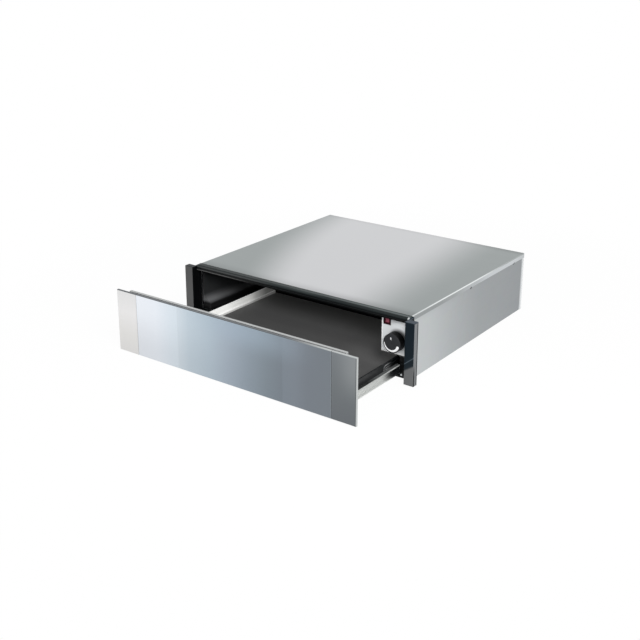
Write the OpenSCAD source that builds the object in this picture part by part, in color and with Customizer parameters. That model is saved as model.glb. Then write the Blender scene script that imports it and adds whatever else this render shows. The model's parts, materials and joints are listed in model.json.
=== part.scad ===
// Built-in warming drawer for a kitchen niche, drawn with the drawer part way open.
// +X is right seen from the front, +Y runs into the niche, +Z is up.
// The origin is the centre of the case's underside.

/* [Case] */
// Width of the case over its side flanges
case_w = 545; // [520:1:558]
// Depth of the case from the front flanges to the rear flange
case_d = 490; // [480:1:530]
// Height of the case
case_h = 135; // [132:1:150]
// Thickness of the case's sheet
sheet_t = 1; // [0.8:0.1:1.2]
// Height of the cover's turned-down flanges
cover_flange_h = 10.5; // [8:0.5:11]
// Outer radius of the bends along the cover's sides
cover_bend_r = 1.5; // [1.1:0.1:1.8]
// Radius of the half-round notches under the cover's side flanges
notch_r = 2.2; // [1.5:0.1:3]
// Distance between those notches
notch_pitch = 202.5; // [120:0.5:210]
// Distance of the rear notch before the rear of the case
notch_rear = 50; // [30:0.5:90]
// Width of the rear panel's wrap round the side walls
wrap_w = 6; // [4:0.5:12]
// Height of the base pan's upturned sides
base_rim_h = 8; // [5:0.5:9]

/* [Front frame] */
// Width of a front post
post_w = 22; // [18:1:26]
// Depth of a front post's face block
post_d = 14.5; // [12:0.5:18]
// Distance of a post's top below the top of the case
post_drop = 2.5; // [1:0.5:6]
// Height of a post's foot above the case's underside
post_foot = 2; // [1:0.5:4]
// Gap between the case's side flanges and the front posts
mouth_gap = 0.5; // [0.2:0.1:3]
// Thickness of a post's leg, beside the trim
post_leg_t = 4; // [3.5:0.5:5]
// Bevel round a post's front edges
post_bevel = 1.2; // [0.6:0.1:2]
// Depth of the frame between the posts and the case
frame_d = 14; // [12:0.5:18]
// Height of the top trim
trim_h = 11.8; // [10:0.1:12]
// Wall of the top trim's open profile
trim_wall = 1.8; // [1.2:0.1:2.4]
// Height of the groove along the trim's front
trim_groove_h = 2; // [1:0.1:3]
// Depth of that groove
trim_groove_d = 0.9; // [0.4:0.1:1.1]
// Height of the trim's lower lip, under the groove
trim_lip_h = 3.6; // [2.5:0.1:4.5]
// Bevel along the trim's upper front edge
trim_bevel = 2.6; // [1:0.1:3]
// Gap between the front sill and the tray
sill_gap = 1.2; // [0.8:0.1:3]
// Thickness of the front sill
sill_t = 1.2; // [1:0.1:1.6]
// Gap between the sill and the slides' moving members
notch_clear = 0.4; // [0.3:0.1:1.5]
// Height of the sill's corner plates
sill_corner_h = 30; // [26:1:40]

/* [Cavity] */
// Thickness of the liners, ceiling and baffle
liner_t = 0.8; // [0.6:0.1:1]
// Gap between the liners' upper walls and the side walls
liner_gap = 2; // [1.6:0.1:3]
// How far the liners' lower walls stand inside the upper ones
shoulder_w = 21; // [20:0.5:22]
// Height at which the shoulder starts
shoulder_z = 46; // [44:1:50]
// Rise of the shoulder's slope
shoulder_rise = 14; // [10:1:18]
// Depth of the bay for fan and heater behind the cavity
rear_bay_d = 78; // [74:1:110]
// Thickness of the insulation over the ceiling
insulation_h = 10.1; // [6:0.1:10.1]
// Height of the ceiling's lip, turned down at the mouth
ceiling_lip_h = 3.5; // [2:0.5:5]
// Height of the ceiling's upturned sides
ceiling_rim_h = 8; // [5:0.5:9]

/* [Tray] */
// Gap between the tray's sides and the slides' fixed channels
slide_gap = 2.1; // [1.6:0.1:4]
// Gap behind the tray when the drawer is closed
tray_rear_gap = 5.5; // [3:0.5:20]
// Height of the tray's underside above the case's underside
tray_z = 10.2; // [10.2:0.1:11]
// Height of the tray over its walls
tray_h = 27.3; // [25:0.1:32]
// Thickness of the tray's floor
tray_floor_t = 1.2; // [1:0.1:1.5]
// Thickness of the tray's hemmed walls
hem_t = 3; // [2.4:0.1:3.4]
// Corner radius of the tray
tray_r = 6; // [4:0.5:10]
// Distance from the pressed panels in the tray's sides to the tray's rear
press_back = 38.5; // [20:0.5:90]
// Height of those panels
press_h = 17; // [12:0.5:19]
// Depth of those panels
press_depth = 0.8; // [0.4:0.1:1]
// Height of the panels' lower edge over the tray's underside
press_low = 7; // [5:0.5:8]
// Distance from the tray's front to the panels
press_front = 184.5; // [150:0.5:190]
// Depth of the stiffening beads under the floor
bead_depth = 0.5; // [0.3:0.1:0.6]
// Width of those beads
bead_w = 12; // [8:1:16]
// Number of beads
bead_count = 5; // [3:1:7]
// Thickness of the rubber mat
mat_t = 2.6; // [2:0.1:3]
// Thickness of the bright side trims
strip_t = 1; // [0.8:0.1:1.2]
// Distance of the side trims' upper edge below the tray's rim
strip_drop = 1.5; // [0.5:0.1:6]
// Height of the side trims' foot over the mat
strip_foot_h = 5.5; // [4:0.5:8]
// How far the foot stands inside the trim's wall
strip_step = 2; // [1.5:0.1:3]

/* [Slides] */
// Height of the slides' fixed channel
channel_h = 25.4; // [24:0.2:25.6]
// Depth of the fixed channel
channel_depth = 10.4; // [10:0.1:11]
// Clearance of a ball in its track, above and below
ball_gap = 0.15; // [0.1:0.01:0.2]
// Depth left in the channel for the ball cage
cage_room = 2.5; // [2.2:0.1:3.2]
// Thickness of the slides' steel
slide_t = 1.2; // [1:0.1:1.3]
// Gap between the channels and the base pan
channel_foot = 0.1; // [0.1:0.1:2]
// Height of the lips that hold the balls
ball_lip_h = 0.7; // [0.4:0.1:0.8]
// Diameter of a ball
ball_d = 2.5; // [2:0.1:2.6]
// Balls in one row
ball_count = 7; // [4:1:7]
// Distance between balls
ball_pitch = 12; // [8:0.5:12]
// Thickness of a ball cage
cage_t = 0.8; // [0.5:0.1:0.9]

/* [Drawer front] */
// How far the drawer's front stands out past the posts
front_overhang = 3.5; // [0:0.5:20]
// Distance of the front's upper edge below the top of the case
front_drop = 1; // [0:0.5:6]
// Height of the front's lower edge above the case's underside
front_foot = 1; // [0.5:0.5:4]
// Thickness of the front's panels
front_t = 5; // [4:0.5:6]
// Width of a steel end panel
end_w = 54.3; // [40:0.1:60]
// Seam between glass and end panels
seam = 0.3; // [0.2:0.1:0.6]
// Bevel round the panels' visible edges
panel_bevel = 0.6; // [0.3:0.1:1]
// Gap between the closed front and the posts
closed_gap = 4.2; // [3.5:0.1:4.4]
// How far the drawer stands open as drawn
drawer_open = 191; // [0:1:191]
// Thickness of the carrier's sheet
carrier_t = 1.2; // [1:0.1:1.5]
// Distance from the front's ends to the carrier
carrier_inset = 36.5; // [30:0.5:50]
// Distance from the front's upper edge to the carrier
carrier_drop = 7; // [4:0.5:16]
// Gap between the carrier's lower flange and the tray
carrier_gap = 1; // [0.5:0.1:1.5]
// Depth of the carrier's rear flanges
carrier_flange = 8; // [5:0.5:8]
// Distance from the front's ends to the grip rail
rail_inset = 28.5; // [27:0.5:90]
// Depth of the grip rail's lip
rail_lip_d = 6.5; // [5:0.1:6.5]
// Gap between the carrier and the lip
rail_gap = 2.2; // [2:0.1:3]
// Wall of the grip rail
rail_wall = 1.9; // [1.5:0.1:2.2]
// Height of the grip rail's upper part
rail_rise = 16; // [14:0.5:18]
// Height of the grip rail's fixing web
rail_web_h = 14; // [10:0.5:16]
// Height of the lip's turned-down edge
rail_hook_h = 8; // [6:0.5:10]
// Radius of the rubber buffers
buffer_r = 4.5; // [3:0.5:6]
// Length of the rubber buffers
buffer_l = 3.9; // [3:0.1:3.9]

/* [Controls] */
// Width of the control plate
plate_w = 66; // [62:1:67]
// Distance from the plate's right edge to the mouth's side
plate_side_gap = 3; // [1:0.5:6]
// Thickness of the control plate
plate_t = 1; // [0.8:0.1:1.5]
// Corner radius of the plate
plate_r = 1.5; // [0.5:0.5:3]
// Depth of the control box behind the plate
box_d = 85; // [60:1:110]
// Wall of the control box
box_wall = 1.6; // [1.2:0.1:2]
// Distance of the knob's axis from the plate's right edge
knob_side = 31.5; // [28:0.5:34]
// Share of the plate's height at which the knob's axis lies
knob_rise_share = 0.387; // [0.34:0.001:0.45]
// Radius of the knob
knob_r = 20; // [17:0.5:21]
// Depth of the knob
knob_d = 17; // [12:0.2:20]
// Radius of the thermostat's shaft
shaft_r = 3; // [2.5:0.1:3.2]
// Running clearance round a shaft
run_gap = 0.05; // [0.03:0.01:0.08]
// Width of the switch
switch_w = 15.4; // [14:0.1:16]
// Height of the switch
switch_h = 15.2; // [15:0.1:16]
// Distance of the switch's middle from the plate's left edge
switch_side = 12.4; // [10:0.2:16]
// Distance of the switch's middle below the plate's upper edge
switch_drop = 8.6; // [8.5:0.1:10]
// Tilt of the rocker either way
rocker_tilt = 7; // [4:1:8]

/* [Air and heat] */
// Distance of the fan's axis from the middle
fan_x = 110; // [90:1:130]
// Radius of the fan wheel
fan_r = 46; // [36:1:50]
// Depth of the fan's blades
blade_d = 20; // [12:1:24]
// Number of blades
blade_count = 18; // [8:1:24]
// Thickness of a blade
blade_t = 0.8; // [0.6:0.1:1.2]
// Radius of the motor
motor_r = 26; // [20:1:30]
// Depth of the motor's bracket
bracket_d = 12; // [8:1:16]
// Radius of the heater's tube
heater_r = 3.2; // [2.5:0.1:4]
// Length of the heater's straight runs
heater_run = 190; // [120:5:200]
// Distance between the heater's runs
heater_pitch = 20; // [16:1:22]
// Radius of the cable hole through the gland
gland_hole_r = 4.5; // [3.5:0.1:5]
// Distance of the gland from the left side wall
gland_side = 50.5; // [32:0.5:90]
// Height of the gland
gland_z = 40; // [30:1:60]

/* [Mounting] */
// Radius of the niche fixing holes in the base pan
fix_hole_r = 2.25; // [1.6:0.05:3]
// Distance between the fixing holes
fix_pitch = 360; // [300:1:420]
// Distance of the fixing holes behind the case's front
fix_back = 30; // [20:1:60]

/* [Hidden] */
$fn = 48;

// Overrun of a cut past the surface that it opens
cut = 1;
// Clearance between pieces that pass each other or drop into each other
fit_gap = 0.3;
// Clearance of a screw in its hole
screw_gap = 0.1;
// Sheet screws: shank radius, head radius and head height
screw_r = 1.6;
screw_head_r = 3.1;
screw_head_h = 1.8;
// Small screws: shank radius, head radius and head height
small_screw_r = 1.2;
small_head_r = 2.3;
small_head_h = 1.3;

// Sizes that follow from others
cavity_d = case_d - 2 * sheet_t - rear_bay_d;
mouth_w = case_w + 2 * mouth_gap;
post_h = case_h - post_foot - post_drop;
front_w = mouth_w + 2 * post_w + 2 * front_overhang;
front_h = case_h - front_drop - front_foot;
cage_l = ball_count * ball_pitch;

// Places of the case's walls
case_front = -case_d / 2;
case_back = case_d / 2;
side_x = case_w / 2 - sheet_t;
side_in = side_x - sheet_t;
cover_z = case_h - sheet_t;
panel_back = case_back - sheet_t;
panel_front = panel_back - sheet_t;

// Places of the front frame
frame_front = case_front - frame_d;
post_front = frame_front - post_d;
mouth_x = mouth_w / 2;
trim_top = cover_z + sheet_t - screw_gap * 2;
trim_low = trim_top - trim_h;

// Places of the cavity
liner_out = side_in - liner_gap;
liner_in = liner_out - liner_t;
ledge_in = liner_in - shoulder_w;
ledge_out = ledge_in + liner_t;
shoulder_top = shoulder_z + shoulder_rise;
flange_out = side_in - sheet_t - fit_gap;
ceiling_z = cover_z - liner_t - insulation_h - fit_gap;
cavity_back = case_front + cavity_d;
shell_in = side_in - screw_gap;

// Places of the drawer's front
closed_rear = post_front - closed_gap;
front_rear = closed_rear - drawer_open;
front_face = front_rear - front_t;
front_top = front_foot + front_h;
glass_x = front_w / 2 - end_w - seam;
carrier_rear = front_rear + carrier_t;
carrier_foot = tray_z - carrier_gap - carrier_t;
carrier_h = front_top - carrier_drop - carrier_foot;
carrier_w = front_w - 2 * carrier_inset;
rail_w = front_w - 2 * rail_inset;

// Places of the slides
channel_out = ledge_in;
channel_web = channel_out - slide_t;
channel_mouth = channel_out - channel_depth;
channel_half = channel_h / 2;
channel_l = cavity_d - fit_gap * 10;
channel_front = case_front + fit_gap * 5;
slide_z = sheet_t + channel_foot + channel_half;
tray_x = channel_mouth - slide_gap;
member_web = tray_x + slide_t;
member_out = channel_web - cage_room;
member_half = channel_half - slide_t - ball_d - 2 * ball_gap;
ball_x = (channel_mouth + slide_t + member_out - slide_t) / 2;
ball_z = (member_half + channel_half - slide_t) / 2;
cage_web_out = (member_out + channel_web) / 2 + cage_t / 2;
cage_open_travel = 110;
cage_middle = channel_front + (cage_l + fit_gap * 30) / 2 + cage_open_travel / 2;

// Places of the tray
tray_front = carrier_rear;
tray_d = cavity_back - tray_rear_gap - closed_rear - carrier_t;
tray_back = tray_front + tray_d;
tray_w = 2 * tray_x;
tray_in = tray_x - hem_t;
floor_z = tray_z + tray_floor_t;
mat_top = floor_z + mat_t;
strip_h = tray_h - tray_floor_t - strip_drop;
press_l = tray_d - press_front - press_back;
member_front = tray_front + hem_t;
member_l = tray_d - 2 * hem_t;
sill_h = tray_z - sill_gap;
sill_notch_floor = slide_z - member_half - ball_lip_h - notch_clear;

// Places of the controls
plate_back = case_front - screw_gap;
plate_face = plate_back - plate_t;
plate_right = mouth_x - plate_side_gap;
plate_left = plate_right - plate_w;
plate_foot = shoulder_z;
plate_top = ceiling_z - fit_gap;
plate_h = plate_top - plate_foot;
knob_x = plate_right - knob_side;
knob_z = plate_foot + plate_h * knob_rise_share;
switch_x = plate_left + switch_side;
switch_z = plate_top - switch_drop;
fan_z = (sheet_t + ceiling_z) / 2;
gland_x = side_in - gland_side;
box_right = liner_in - fit_gap * 4;
box_low_right = ledge_in - fit_gap;
box_foot = plate_foot + fit_gap * 3;
box_left = plate_left + fit_gap * 5;

// A block between two corners
module block(low, high) {
    translate(low) cube(high - low);
}

// A profile of [y, z] points carried along X
module bar_x(points, from, to) {
    translate([from, 0, 0]) rotate([90, 0, 90]) linear_extrude(to - from) polygon(points);
}

// A profile of [x, z] points carried along Y
module bar_y(points, from, to) {
    translate([0, to, 0]) rotate([90, 0, 0]) linear_extrude(to - from) polygon(points);
}

// A profile of [x, y] points carried along Z
module bar_z(points, from, to) {
    translate([0, 0, from]) linear_extrude(to - from) polygon(points);
}

// What follows, on the left side
module on_left() {
    mirror([1, 0, 0]) children();
}

// What follows, on both sides
module on_both() {
    children();
    on_left() children();
}

// A rod along Y, from one place to another
module rod_y(x, z, r, from, to) {
    translate([x, from, z]) rotate([-90, 0, 0]) cylinder(r = r, h = to - from);
}

// A rod along X, from one place to another
module rod_x(y, z, r, from, to) {
    translate([from, y, z]) rotate([0, 90, 0]) cylinder(r = r, h = to - from);
}

// A flat rectangle with round corners, centred
module round_rect(w, d, r) {
    square([w - 2 * r, d], center = true);
    square([w, d - 2 * r], center = true);
    for (sx = [-1, 1]) {
        for (sy = [-1, 1]) {
            translate([sx * (w / 2 - r), sy * (d / 2 - r)]) circle(r);
        }
    }
}

// A slot with round ends, centred, its long way along X
module slot_shape(l, w) {
    square([l - w, w], center = true);
    for (s = [-1, 1]) {
        translate([s * (l - w) / 2, 0]) circle(w / 2);
    }
}

// A panel with a bevel round its front face, which looks towards -Y
module bevel_panel(x0, x1, z0, z1, y, t, b) {
    intersection() {
        bar_z([[x0, y + b], [x0 + b, y], [x1 - b, y], [x1, y + b], [x1, y + t], [x0, y + t]], z0, z1);
        bar_x([[y, z0 + b], [y + b, z0], [y + t, z0], [y + t, z1], [y + b, z1], [y, z1 - b]], x0, x1);
    }
}

// A pan-head screw that points along -Z, with the seat of its head at zero and a cross recess
module pan_screw(r, head_r, head_h, l) {
    difference() {
        union() {
            cylinder(r = head_r, h = head_h * 0.6);
            cylinder(r = head_r * 0.8, h = head_h);
        }
        for (turn = [0, 90]) {
            rotate(turn) translate([0, 0, head_h]) cube([head_r, head_r * 0.28, head_h], center = true);
        }
    }
    translate([0, 0, -l]) cylinder(r = r, h = l);
}

// A pan-head screw whose head faces +Y
module screw_facing_back(x, y, z, r, head_r, head_h, l) {
    translate([x, y, z]) rotate([-90, 0, 0]) pan_screw(r, head_r, head_h, l);
}

// A pan-head screw whose head faces -Y
module screw_facing_front(x, y, z, r, head_r, head_h, l) {
    translate([x, y, z]) rotate([90, 0, 0]) pan_screw(r, head_r, head_h, l);
}

// Case

vent_count = 12;
vent_l = 26;
vent_w = 3;
vent_pitch = 9;
// Where the base pan's air slots lie, from the cavity's back
base_vent_back = 40;

module base_pan() {
    color("silver") difference() {
        union() {
            block([-side_in, case_front, 0], [side_in, panel_front, sheet_t]);
            on_both() block([side_in - sheet_t, case_front + fit_gap, 0],
                            [side_in, panel_front, sheet_t + base_rim_h]);
            block([-side_in, panel_front - sheet_t, 0], [side_in, panel_front, sheet_t + base_rim_h]);
        }
        on_both() translate([fix_pitch / 2, case_front + fix_back, -cut])
            cylinder(r = fix_hole_r, h = sheet_t + 2 * cut);
        for (i = [0 : vent_count - 1]) {
            translate([(i - (vent_count - 1) / 2) * vent_pitch, cavity_back + base_vent_back, -cut])
                rotate(90) linear_extrude(sheet_t + 2 * cut) slot_shape(vent_l, vent_w);
        }
    }
}

flange_low = post_foot;
flange_screw_x = mouth_x + post_leg_t / 2;
flange_screw_shares = [0.12, 0.5, 0.88];

module post_screw_places() {
    for (share = flange_screw_shares) {
        translate([flange_screw_x, 0, post_foot + post_h * share]) children();
    }
}

module side_wall() {
    difference() {
        union() {
            block([side_in, case_front, 0], [side_x, panel_front, cover_z]);
            block([side_in, case_front, flange_low],
                  [mouth_x + post_leg_t, case_front + sheet_t, cover_z]);
        }
        post_screw_places() rod_y(0, 0, screw_r + screw_gap, case_front - cut, case_front + sheet_t + cut);
    }
}

module side_wall_left() {
    color("silver") on_left() side_wall();
}

module side_wall_right() {
    color("silver") side_wall();
}

rear_press_w = 150;
rear_press_h = 70;
rear_press_t = 0.5;
rear_press_x = 80;
gland_thread_r = 8;
cover_screw_count = 5;
cover_screw_pitch = case_w * 0.22;
cover_screw_drop = 5.2;

module cover_screw_places() {
    for (i = [0 : cover_screw_count - 1]) {
        translate([(i - (cover_screw_count - 1) / 2) * cover_screw_pitch, 0, case_h - cover_screw_drop])
            children();
    }
}

module rear_panel() {
    color("gainsboro") difference() {
        union() {
            block([-side_x - sheet_t, panel_front, 0], [side_x + sheet_t, panel_back, cover_z]);
            on_both() block([side_x, panel_back - wrap_w, 0],
                            [side_x + sheet_t, panel_back, case_h - cover_flange_h - fit_gap]);
        }
        // Room for the cover's side flanges over the wrap
        on_both() block([side_x, panel_front - cut, case_h - cover_flange_h - fit_gap],
                        [side_x + sheet_t + cut, panel_back + cut, case_h]);
        rod_y(-gland_x, gland_z, gland_thread_r + screw_gap, panel_front - cut, panel_back + cut);
        cover_screw_places() rod_y(0, 0, screw_r + screw_gap, panel_front - cut, panel_back + cut);
        for (i = [0 : vent_count - 1]) {
            translate([(i - (vent_count - 1) / 2) * vent_pitch - rear_press_x, panel_front - cut, fan_z])
                rotate([-90, 90, 0]) linear_extrude(sheet_t + 2 * cut) slot_shape(vent_l, vent_w);
        }
        // A pressed field that stiffens the sheet, seen from behind
        translate([-rear_press_x, panel_back + cut, fan_z]) rotate([90, 0, 0])
            linear_extrude(cut + rear_press_t) round_rect(rear_press_w, rear_press_h, sheet_t * 10);
        motor_bracket_screw_places() rod_y(0, 0, screw_r + screw_gap, panel_front - cut, panel_back + cut);
    }
}

// What lies outside a bend along Y whose sharp corner would be at x, z
module outer_bend(x, z, r) {
    difference() {
        block([x - r, case_front - cut, z - r], [x + cut, case_back + cut, z + cut]);
        rod_y(x - r, z - r, r, case_front - 2 * cut, case_back + 2 * cut);
    }
}

module top_cover() {
    color("silver") difference() {
        union() {
            block([-side_x - sheet_t, case_front, cover_z], [side_x + sheet_t, case_back, case_h]);
            on_both() block([side_x, case_front + sheet_t + screw_gap, case_h - cover_flange_h],
                            [side_x + sheet_t, case_back, case_h]);
            block([-side_x, panel_back, case_h - cover_flange_h], [side_x, case_back, case_h]);
            block([-side_in + fit_gap, case_front, case_h - cover_flange_h],
                  [side_in - fit_gap, case_front + sheet_t, case_h]);
        }
        on_both() outer_bend(side_x + sheet_t, case_h, cover_bend_r);
        cover_screw_places() rod_y(0, 0, screw_r + screw_gap, panel_back - cut, case_back + cut);
        on_both() for (i = [0, 1]) {
            rod_x(case_back - notch_rear - i * notch_pitch, case_h - cover_flange_h, notch_r,
                  side_x - sheet_t, side_x + sheet_t + cut);
        }
    }
}

cover_screw_l = 7;

module cover_screws() {
    color("lightgray") cover_screw_places()
        screw_facing_back(0, case_back, 0, screw_r, screw_head_r, screw_head_h, cover_screw_l);
}

// Front frame

post_screw_l = 9;

// A post and its leg, bevelled along the front edges
module front_post() {
    top = post_foot + post_h;
    face_out = mouth_x + post_w;
    leg_out = mouth_x + post_leg_t;
    difference() {
        bar_z([[mouth_x, post_front + post_bevel], [mouth_x + post_bevel, post_front],
               [face_out - post_bevel, post_front], [face_out, post_front + post_bevel],
               [face_out, frame_front - post_bevel], [face_out - post_bevel, frame_front],
               [leg_out, frame_front], [leg_out, case_front], [mouth_x, case_front]],
              post_foot, top);
        bar_x([[post_front - cut, top - post_bevel - cut], [post_front - cut, top + cut],
               [post_front + post_bevel + cut, top + cut]],
              mouth_x - cut, face_out + cut);
        bar_x([[post_front - cut, post_foot + post_bevel + cut], [post_front - cut, post_foot - cut],
               [post_front + post_bevel + cut, post_foot - cut]],
              mouth_x - cut, face_out + cut);
        post_screw_places() rod_y(0, 0, screw_r, case_front - post_screw_l, case_front + cut);
    }
}

module front_post_left() {
    color("dimgray") on_left() front_post();
}

module front_post_right() {
    color("dimgray") front_post();
}

module post_screws() {
    color("lightgray") on_both() post_screw_places()
        screw_facing_back(0, case_front + sheet_t, 0, screw_r - screw_gap, small_head_r, small_head_h,
                          post_screw_l);
}

// The trim across the mouth: a channel open to the rear, with a groove along its face
module top_trim() {
    face = frame_front;
    lip_top = trim_low + trim_lip_h;
    groove_top = lip_top + trim_groove_h;
    in_face = face + trim_wall;
    color("dimgray") bar_x([
        [face, trim_low], [face, lip_top], [face + trim_groove_d, lip_top],
        [face + trim_groove_d, groove_top], [face, groove_top], [face, trim_top - trim_bevel],
        [face + trim_bevel, trim_top], [case_front, trim_top], [case_front, trim_top - trim_wall],
        [in_face + trim_bevel, trim_top - trim_wall], [in_face, trim_top - trim_wall - trim_bevel / 2],
        [in_face, trim_low + trim_wall], [case_front, trim_low + trim_wall], [case_front, trim_low]
    ], -mouth_x + fit_gap, mouth_x - fit_gap);
}

sill_screw_z = 7.2;
sill_screw_in = 3.6;
sill_screw_l = 5;
slide_notch_in = tray_x - fit_gap * 4;
slide_notch_out = channel_out + liner_t * 2;
sill_screw_x = slide_notch_out + sill_screw_in;

// The sill below the mouth, cut away where the slides run
module front_sill() {
    sill_out = mouth_x - fit_gap;
    color("black") difference() {
        bar_y([[-sill_out, fit_gap], [sill_out, fit_gap], [sill_out, sill_corner_h],
               [slide_notch_out, sill_corner_h], [slide_notch_out, sill_notch_floor],
               [slide_notch_in, sill_notch_floor], [slide_notch_in, sill_h],
               [-slide_notch_in, sill_h], [-slide_notch_in, sill_notch_floor],
               [-slide_notch_out, sill_notch_floor], [-slide_notch_out, sill_corner_h],
               [-sill_out, sill_corner_h]],
              case_front - sill_t, case_front);
        on_both() rod_y(sill_screw_x, sill_screw_z, screw_r + screw_gap, case_front - sill_t - cut,
                        case_front + cut);
    }
}

module sill_screws() {
    color("white") on_both()
        screw_facing_front(sill_screw_x, case_front - sill_t, sill_screw_z, screw_r, small_head_r,
                           small_head_h, sill_screw_l);
}

// Cavity

baffle_screw_x = (ledge_out + flange_out) / 2;
baffle_screw_zs = [18, 36];
liner_top = ceiling_z;

// The liner's end plates, which reach out to the side wall
module liner_end(y) {
    bar_y([[ledge_in, sheet_t], [flange_out, sheet_t], [flange_out, liner_top], [liner_in, liner_top],
           [liner_in, shoulder_top], [ledge_in, shoulder_z]], y, y + liner_t);
}

// A side liner: upper wall, sloped shoulder and the lower wall that carries the slide
module liner() {
    difference() {
        union() {
            bar_y([[ledge_in, sheet_t], [ledge_out, sheet_t], [ledge_out, shoulder_z],
                   [liner_out, shoulder_top], [liner_out, liner_top], [liner_in, liner_top],
                   [liner_in, shoulder_top], [ledge_in, shoulder_z]],
                  case_front, cavity_back);
            liner_end(case_front);
            liner_end(cavity_back - liner_t);
        }
        rod_y(sill_screw_x, sill_screw_z, screw_r + screw_gap, case_front - cut, case_front + liner_t + cut);
        for (z = baffle_screw_zs) {
            rod_y(baffle_screw_x, z, screw_r + screw_gap, cavity_back - liner_t - cut, cavity_back + cut);
        }
        slide_rivet_places() rod_x(0, 0, rivet_r + screw_gap, ledge_in - cut, ledge_out + cut);
    }
}

module liner_left() {
    color("black") on_left() liner();
}

module liner_right() {
    color("black") liner();
}

// The ceiling, with upturned sides and a lip turned down at the mouth
module cavity_ceiling() {
    top = ceiling_z + liner_t;
    color("black") union() {
        block([-shell_in, case_front, ceiling_z], [shell_in, cavity_back, top]);
        on_both() block([shell_in - liner_t, case_front + sheet_t + fit_gap, ceiling_z],
                        [shell_in, cavity_back, top + ceiling_rim_h]);
        block([-liner_in + fit_gap, case_front, ceiling_z - ceiling_lip_h],
              [plate_left - fit_gap, case_front + liner_t, top]);
    }
}

module insulation_mat() {
    side = shell_in - liner_t - fit_gap;
    color("khaki") block([-side, case_front + sheet_t + fit_gap, ceiling_z + liner_t],
                         [side, cavity_back, ceiling_z + liner_t + insulation_h]);
}

grille_rings = 4;
grille_gap = 3.4;
grille_bar = 3.2;
grille_first_r = 6;
grille_spokes = 6;
outlet_count = 14;
outlet_l = 30;
outlet_w = 4;
outlet_pitch = 14;
outlet_x = -90;
outlet_rise = 52;
outlet_low = fan_z - outlet_rise / 2;

// Ring slots for the air inlet, broken by spokes
module grille_cut() {
    difference() {
        for (i = [0 : grille_rings - 1]) {
            inner = grille_first_r + i * (grille_gap + grille_bar);
            difference() {
                circle(inner + grille_gap);
                circle(inner);
            }
        }
        for (i = [0 : grille_spokes - 1]) {
            rotate(i * 360 / grille_spokes) translate([0, -grille_bar / 2])
                square([grille_rings * (grille_gap + grille_bar) + grille_first_r + cut, grille_bar]);
        }
    }
}

module air_baffle() {
    thick = liner_t + 2 * cut;
    color("black") difference() {
        block([-flange_out, cavity_back, sheet_t], [flange_out, cavity_back + liner_t, ceiling_z + liner_t]);
        translate([fan_x, cavity_back - cut, fan_z]) rotate([-90, 0, 0]) linear_extrude(thick) grille_cut();
        for (row = [0, 1]) {
            for (i = [0 : outlet_count - 1]) {
                translate([outlet_x + (i - (outlet_count - 1) / 2) * outlet_pitch, cavity_back - cut,
                           outlet_low + row * outlet_rise])
                    rotate([-90, 90, 0]) linear_extrude(thick) slot_shape(outlet_l, outlet_w);
            }
        }
        on_both() for (z = baffle_screw_zs) {
            rod_y(baffle_screw_x, z, screw_r + screw_gap, cavity_back - cut, cavity_back + liner_t + cut);
        }
    }
}

baffle_screw_l = 5;

module baffle_screws() {
    color("lightgray") on_both() for (z = baffle_screw_zs) {
        screw_facing_back(baffle_screw_x, cavity_back + liner_t, z, screw_r, screw_head_r, screw_head_h,
                          baffle_screw_l);
    }
}

// Air and heat

heater_back = 20;
heater_gap = 64;
heater_left = fan_x - fan_r - heater_gap - heater_run;
heater_runs = 4;
heater_low = fan_z - (heater_runs - 1) * heater_pitch / 2;
heater_y = cavity_back + heater_back;
heater_tail = 24;
clip_shares = [0.2, 0.78];
clip_t = 1.2;
clip_margin = 8;

// A half ring of the heater's tube, bulging towards -X
module heater_bend() {
    rotate([90, 0, 0]) rotate([0, 0, 90])
        rotate_extrude(angle = 180) translate([heater_pitch / 2, 0]) circle(heater_r);
}

// Tubular heater bent into four runs, with both ends turned to the rear
module heater_element() {
    right = heater_left + heater_run;
    color("darkgray") union() {
        for (i = [0 : heater_runs - 1]) {
            rod_x(heater_y, heater_low + i * heater_pitch, heater_r, heater_left, right);
        }
        for (i = [0, 2]) {
            translate([heater_left, heater_y, heater_low + (i + 0.5) * heater_pitch]) heater_bend();
        }
        translate([right, heater_y, heater_low + 1.5 * heater_pitch]) mirror([1, 0, 0]) heater_bend();
        for (i = [0, heater_runs - 1]) {
            translate([right, heater_y, heater_low + i * heater_pitch]) sphere(heater_r);
            rod_y(right, heater_low + i * heater_pitch, heater_r, heater_y, heater_y + heater_tail);
        }
    }
}

// Strips that hold the heater's runs off the baffle
module heater_clips() {
    foot = cavity_back + liner_t;
    low = heater_low - clip_margin;
    high = heater_low + (heater_runs - 1) * heater_pitch + clip_margin;
    color("silver") for (share = clip_shares) {
        x = heater_left + heater_run * share;
        difference() {
            union() {
                block([x, foot, low], [x + clip_t, heater_y + clip_margin, high]);
                block([x, foot, low], [x + clip_margin, foot + clip_t, high]);
            }
            for (i = [0 : heater_runs - 1]) {
                rod_x(heater_y, heater_low + i * heater_pitch, heater_r + screw_gap, x - cut,
                      x + clip_t + cut);
            }
        }
    }
}

wheel_gap = 4;
wheel_front = cavity_back + liner_t + wheel_gap;
wheel_disc_t = 1.2;
hub_r = 9;
hub_l = 8;
motor_shaft_r = 2.5;
blade_in_share = 0.66;
blade_sweep = 24;
shroud_in_share = 0.8;
motor_front = wheel_front + blade_d + wheel_disc_t + hub_l / 2;
motor_back = panel_front - bracket_d;
motor_bore_l = 12;
motor_foot_t = 2;

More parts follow.
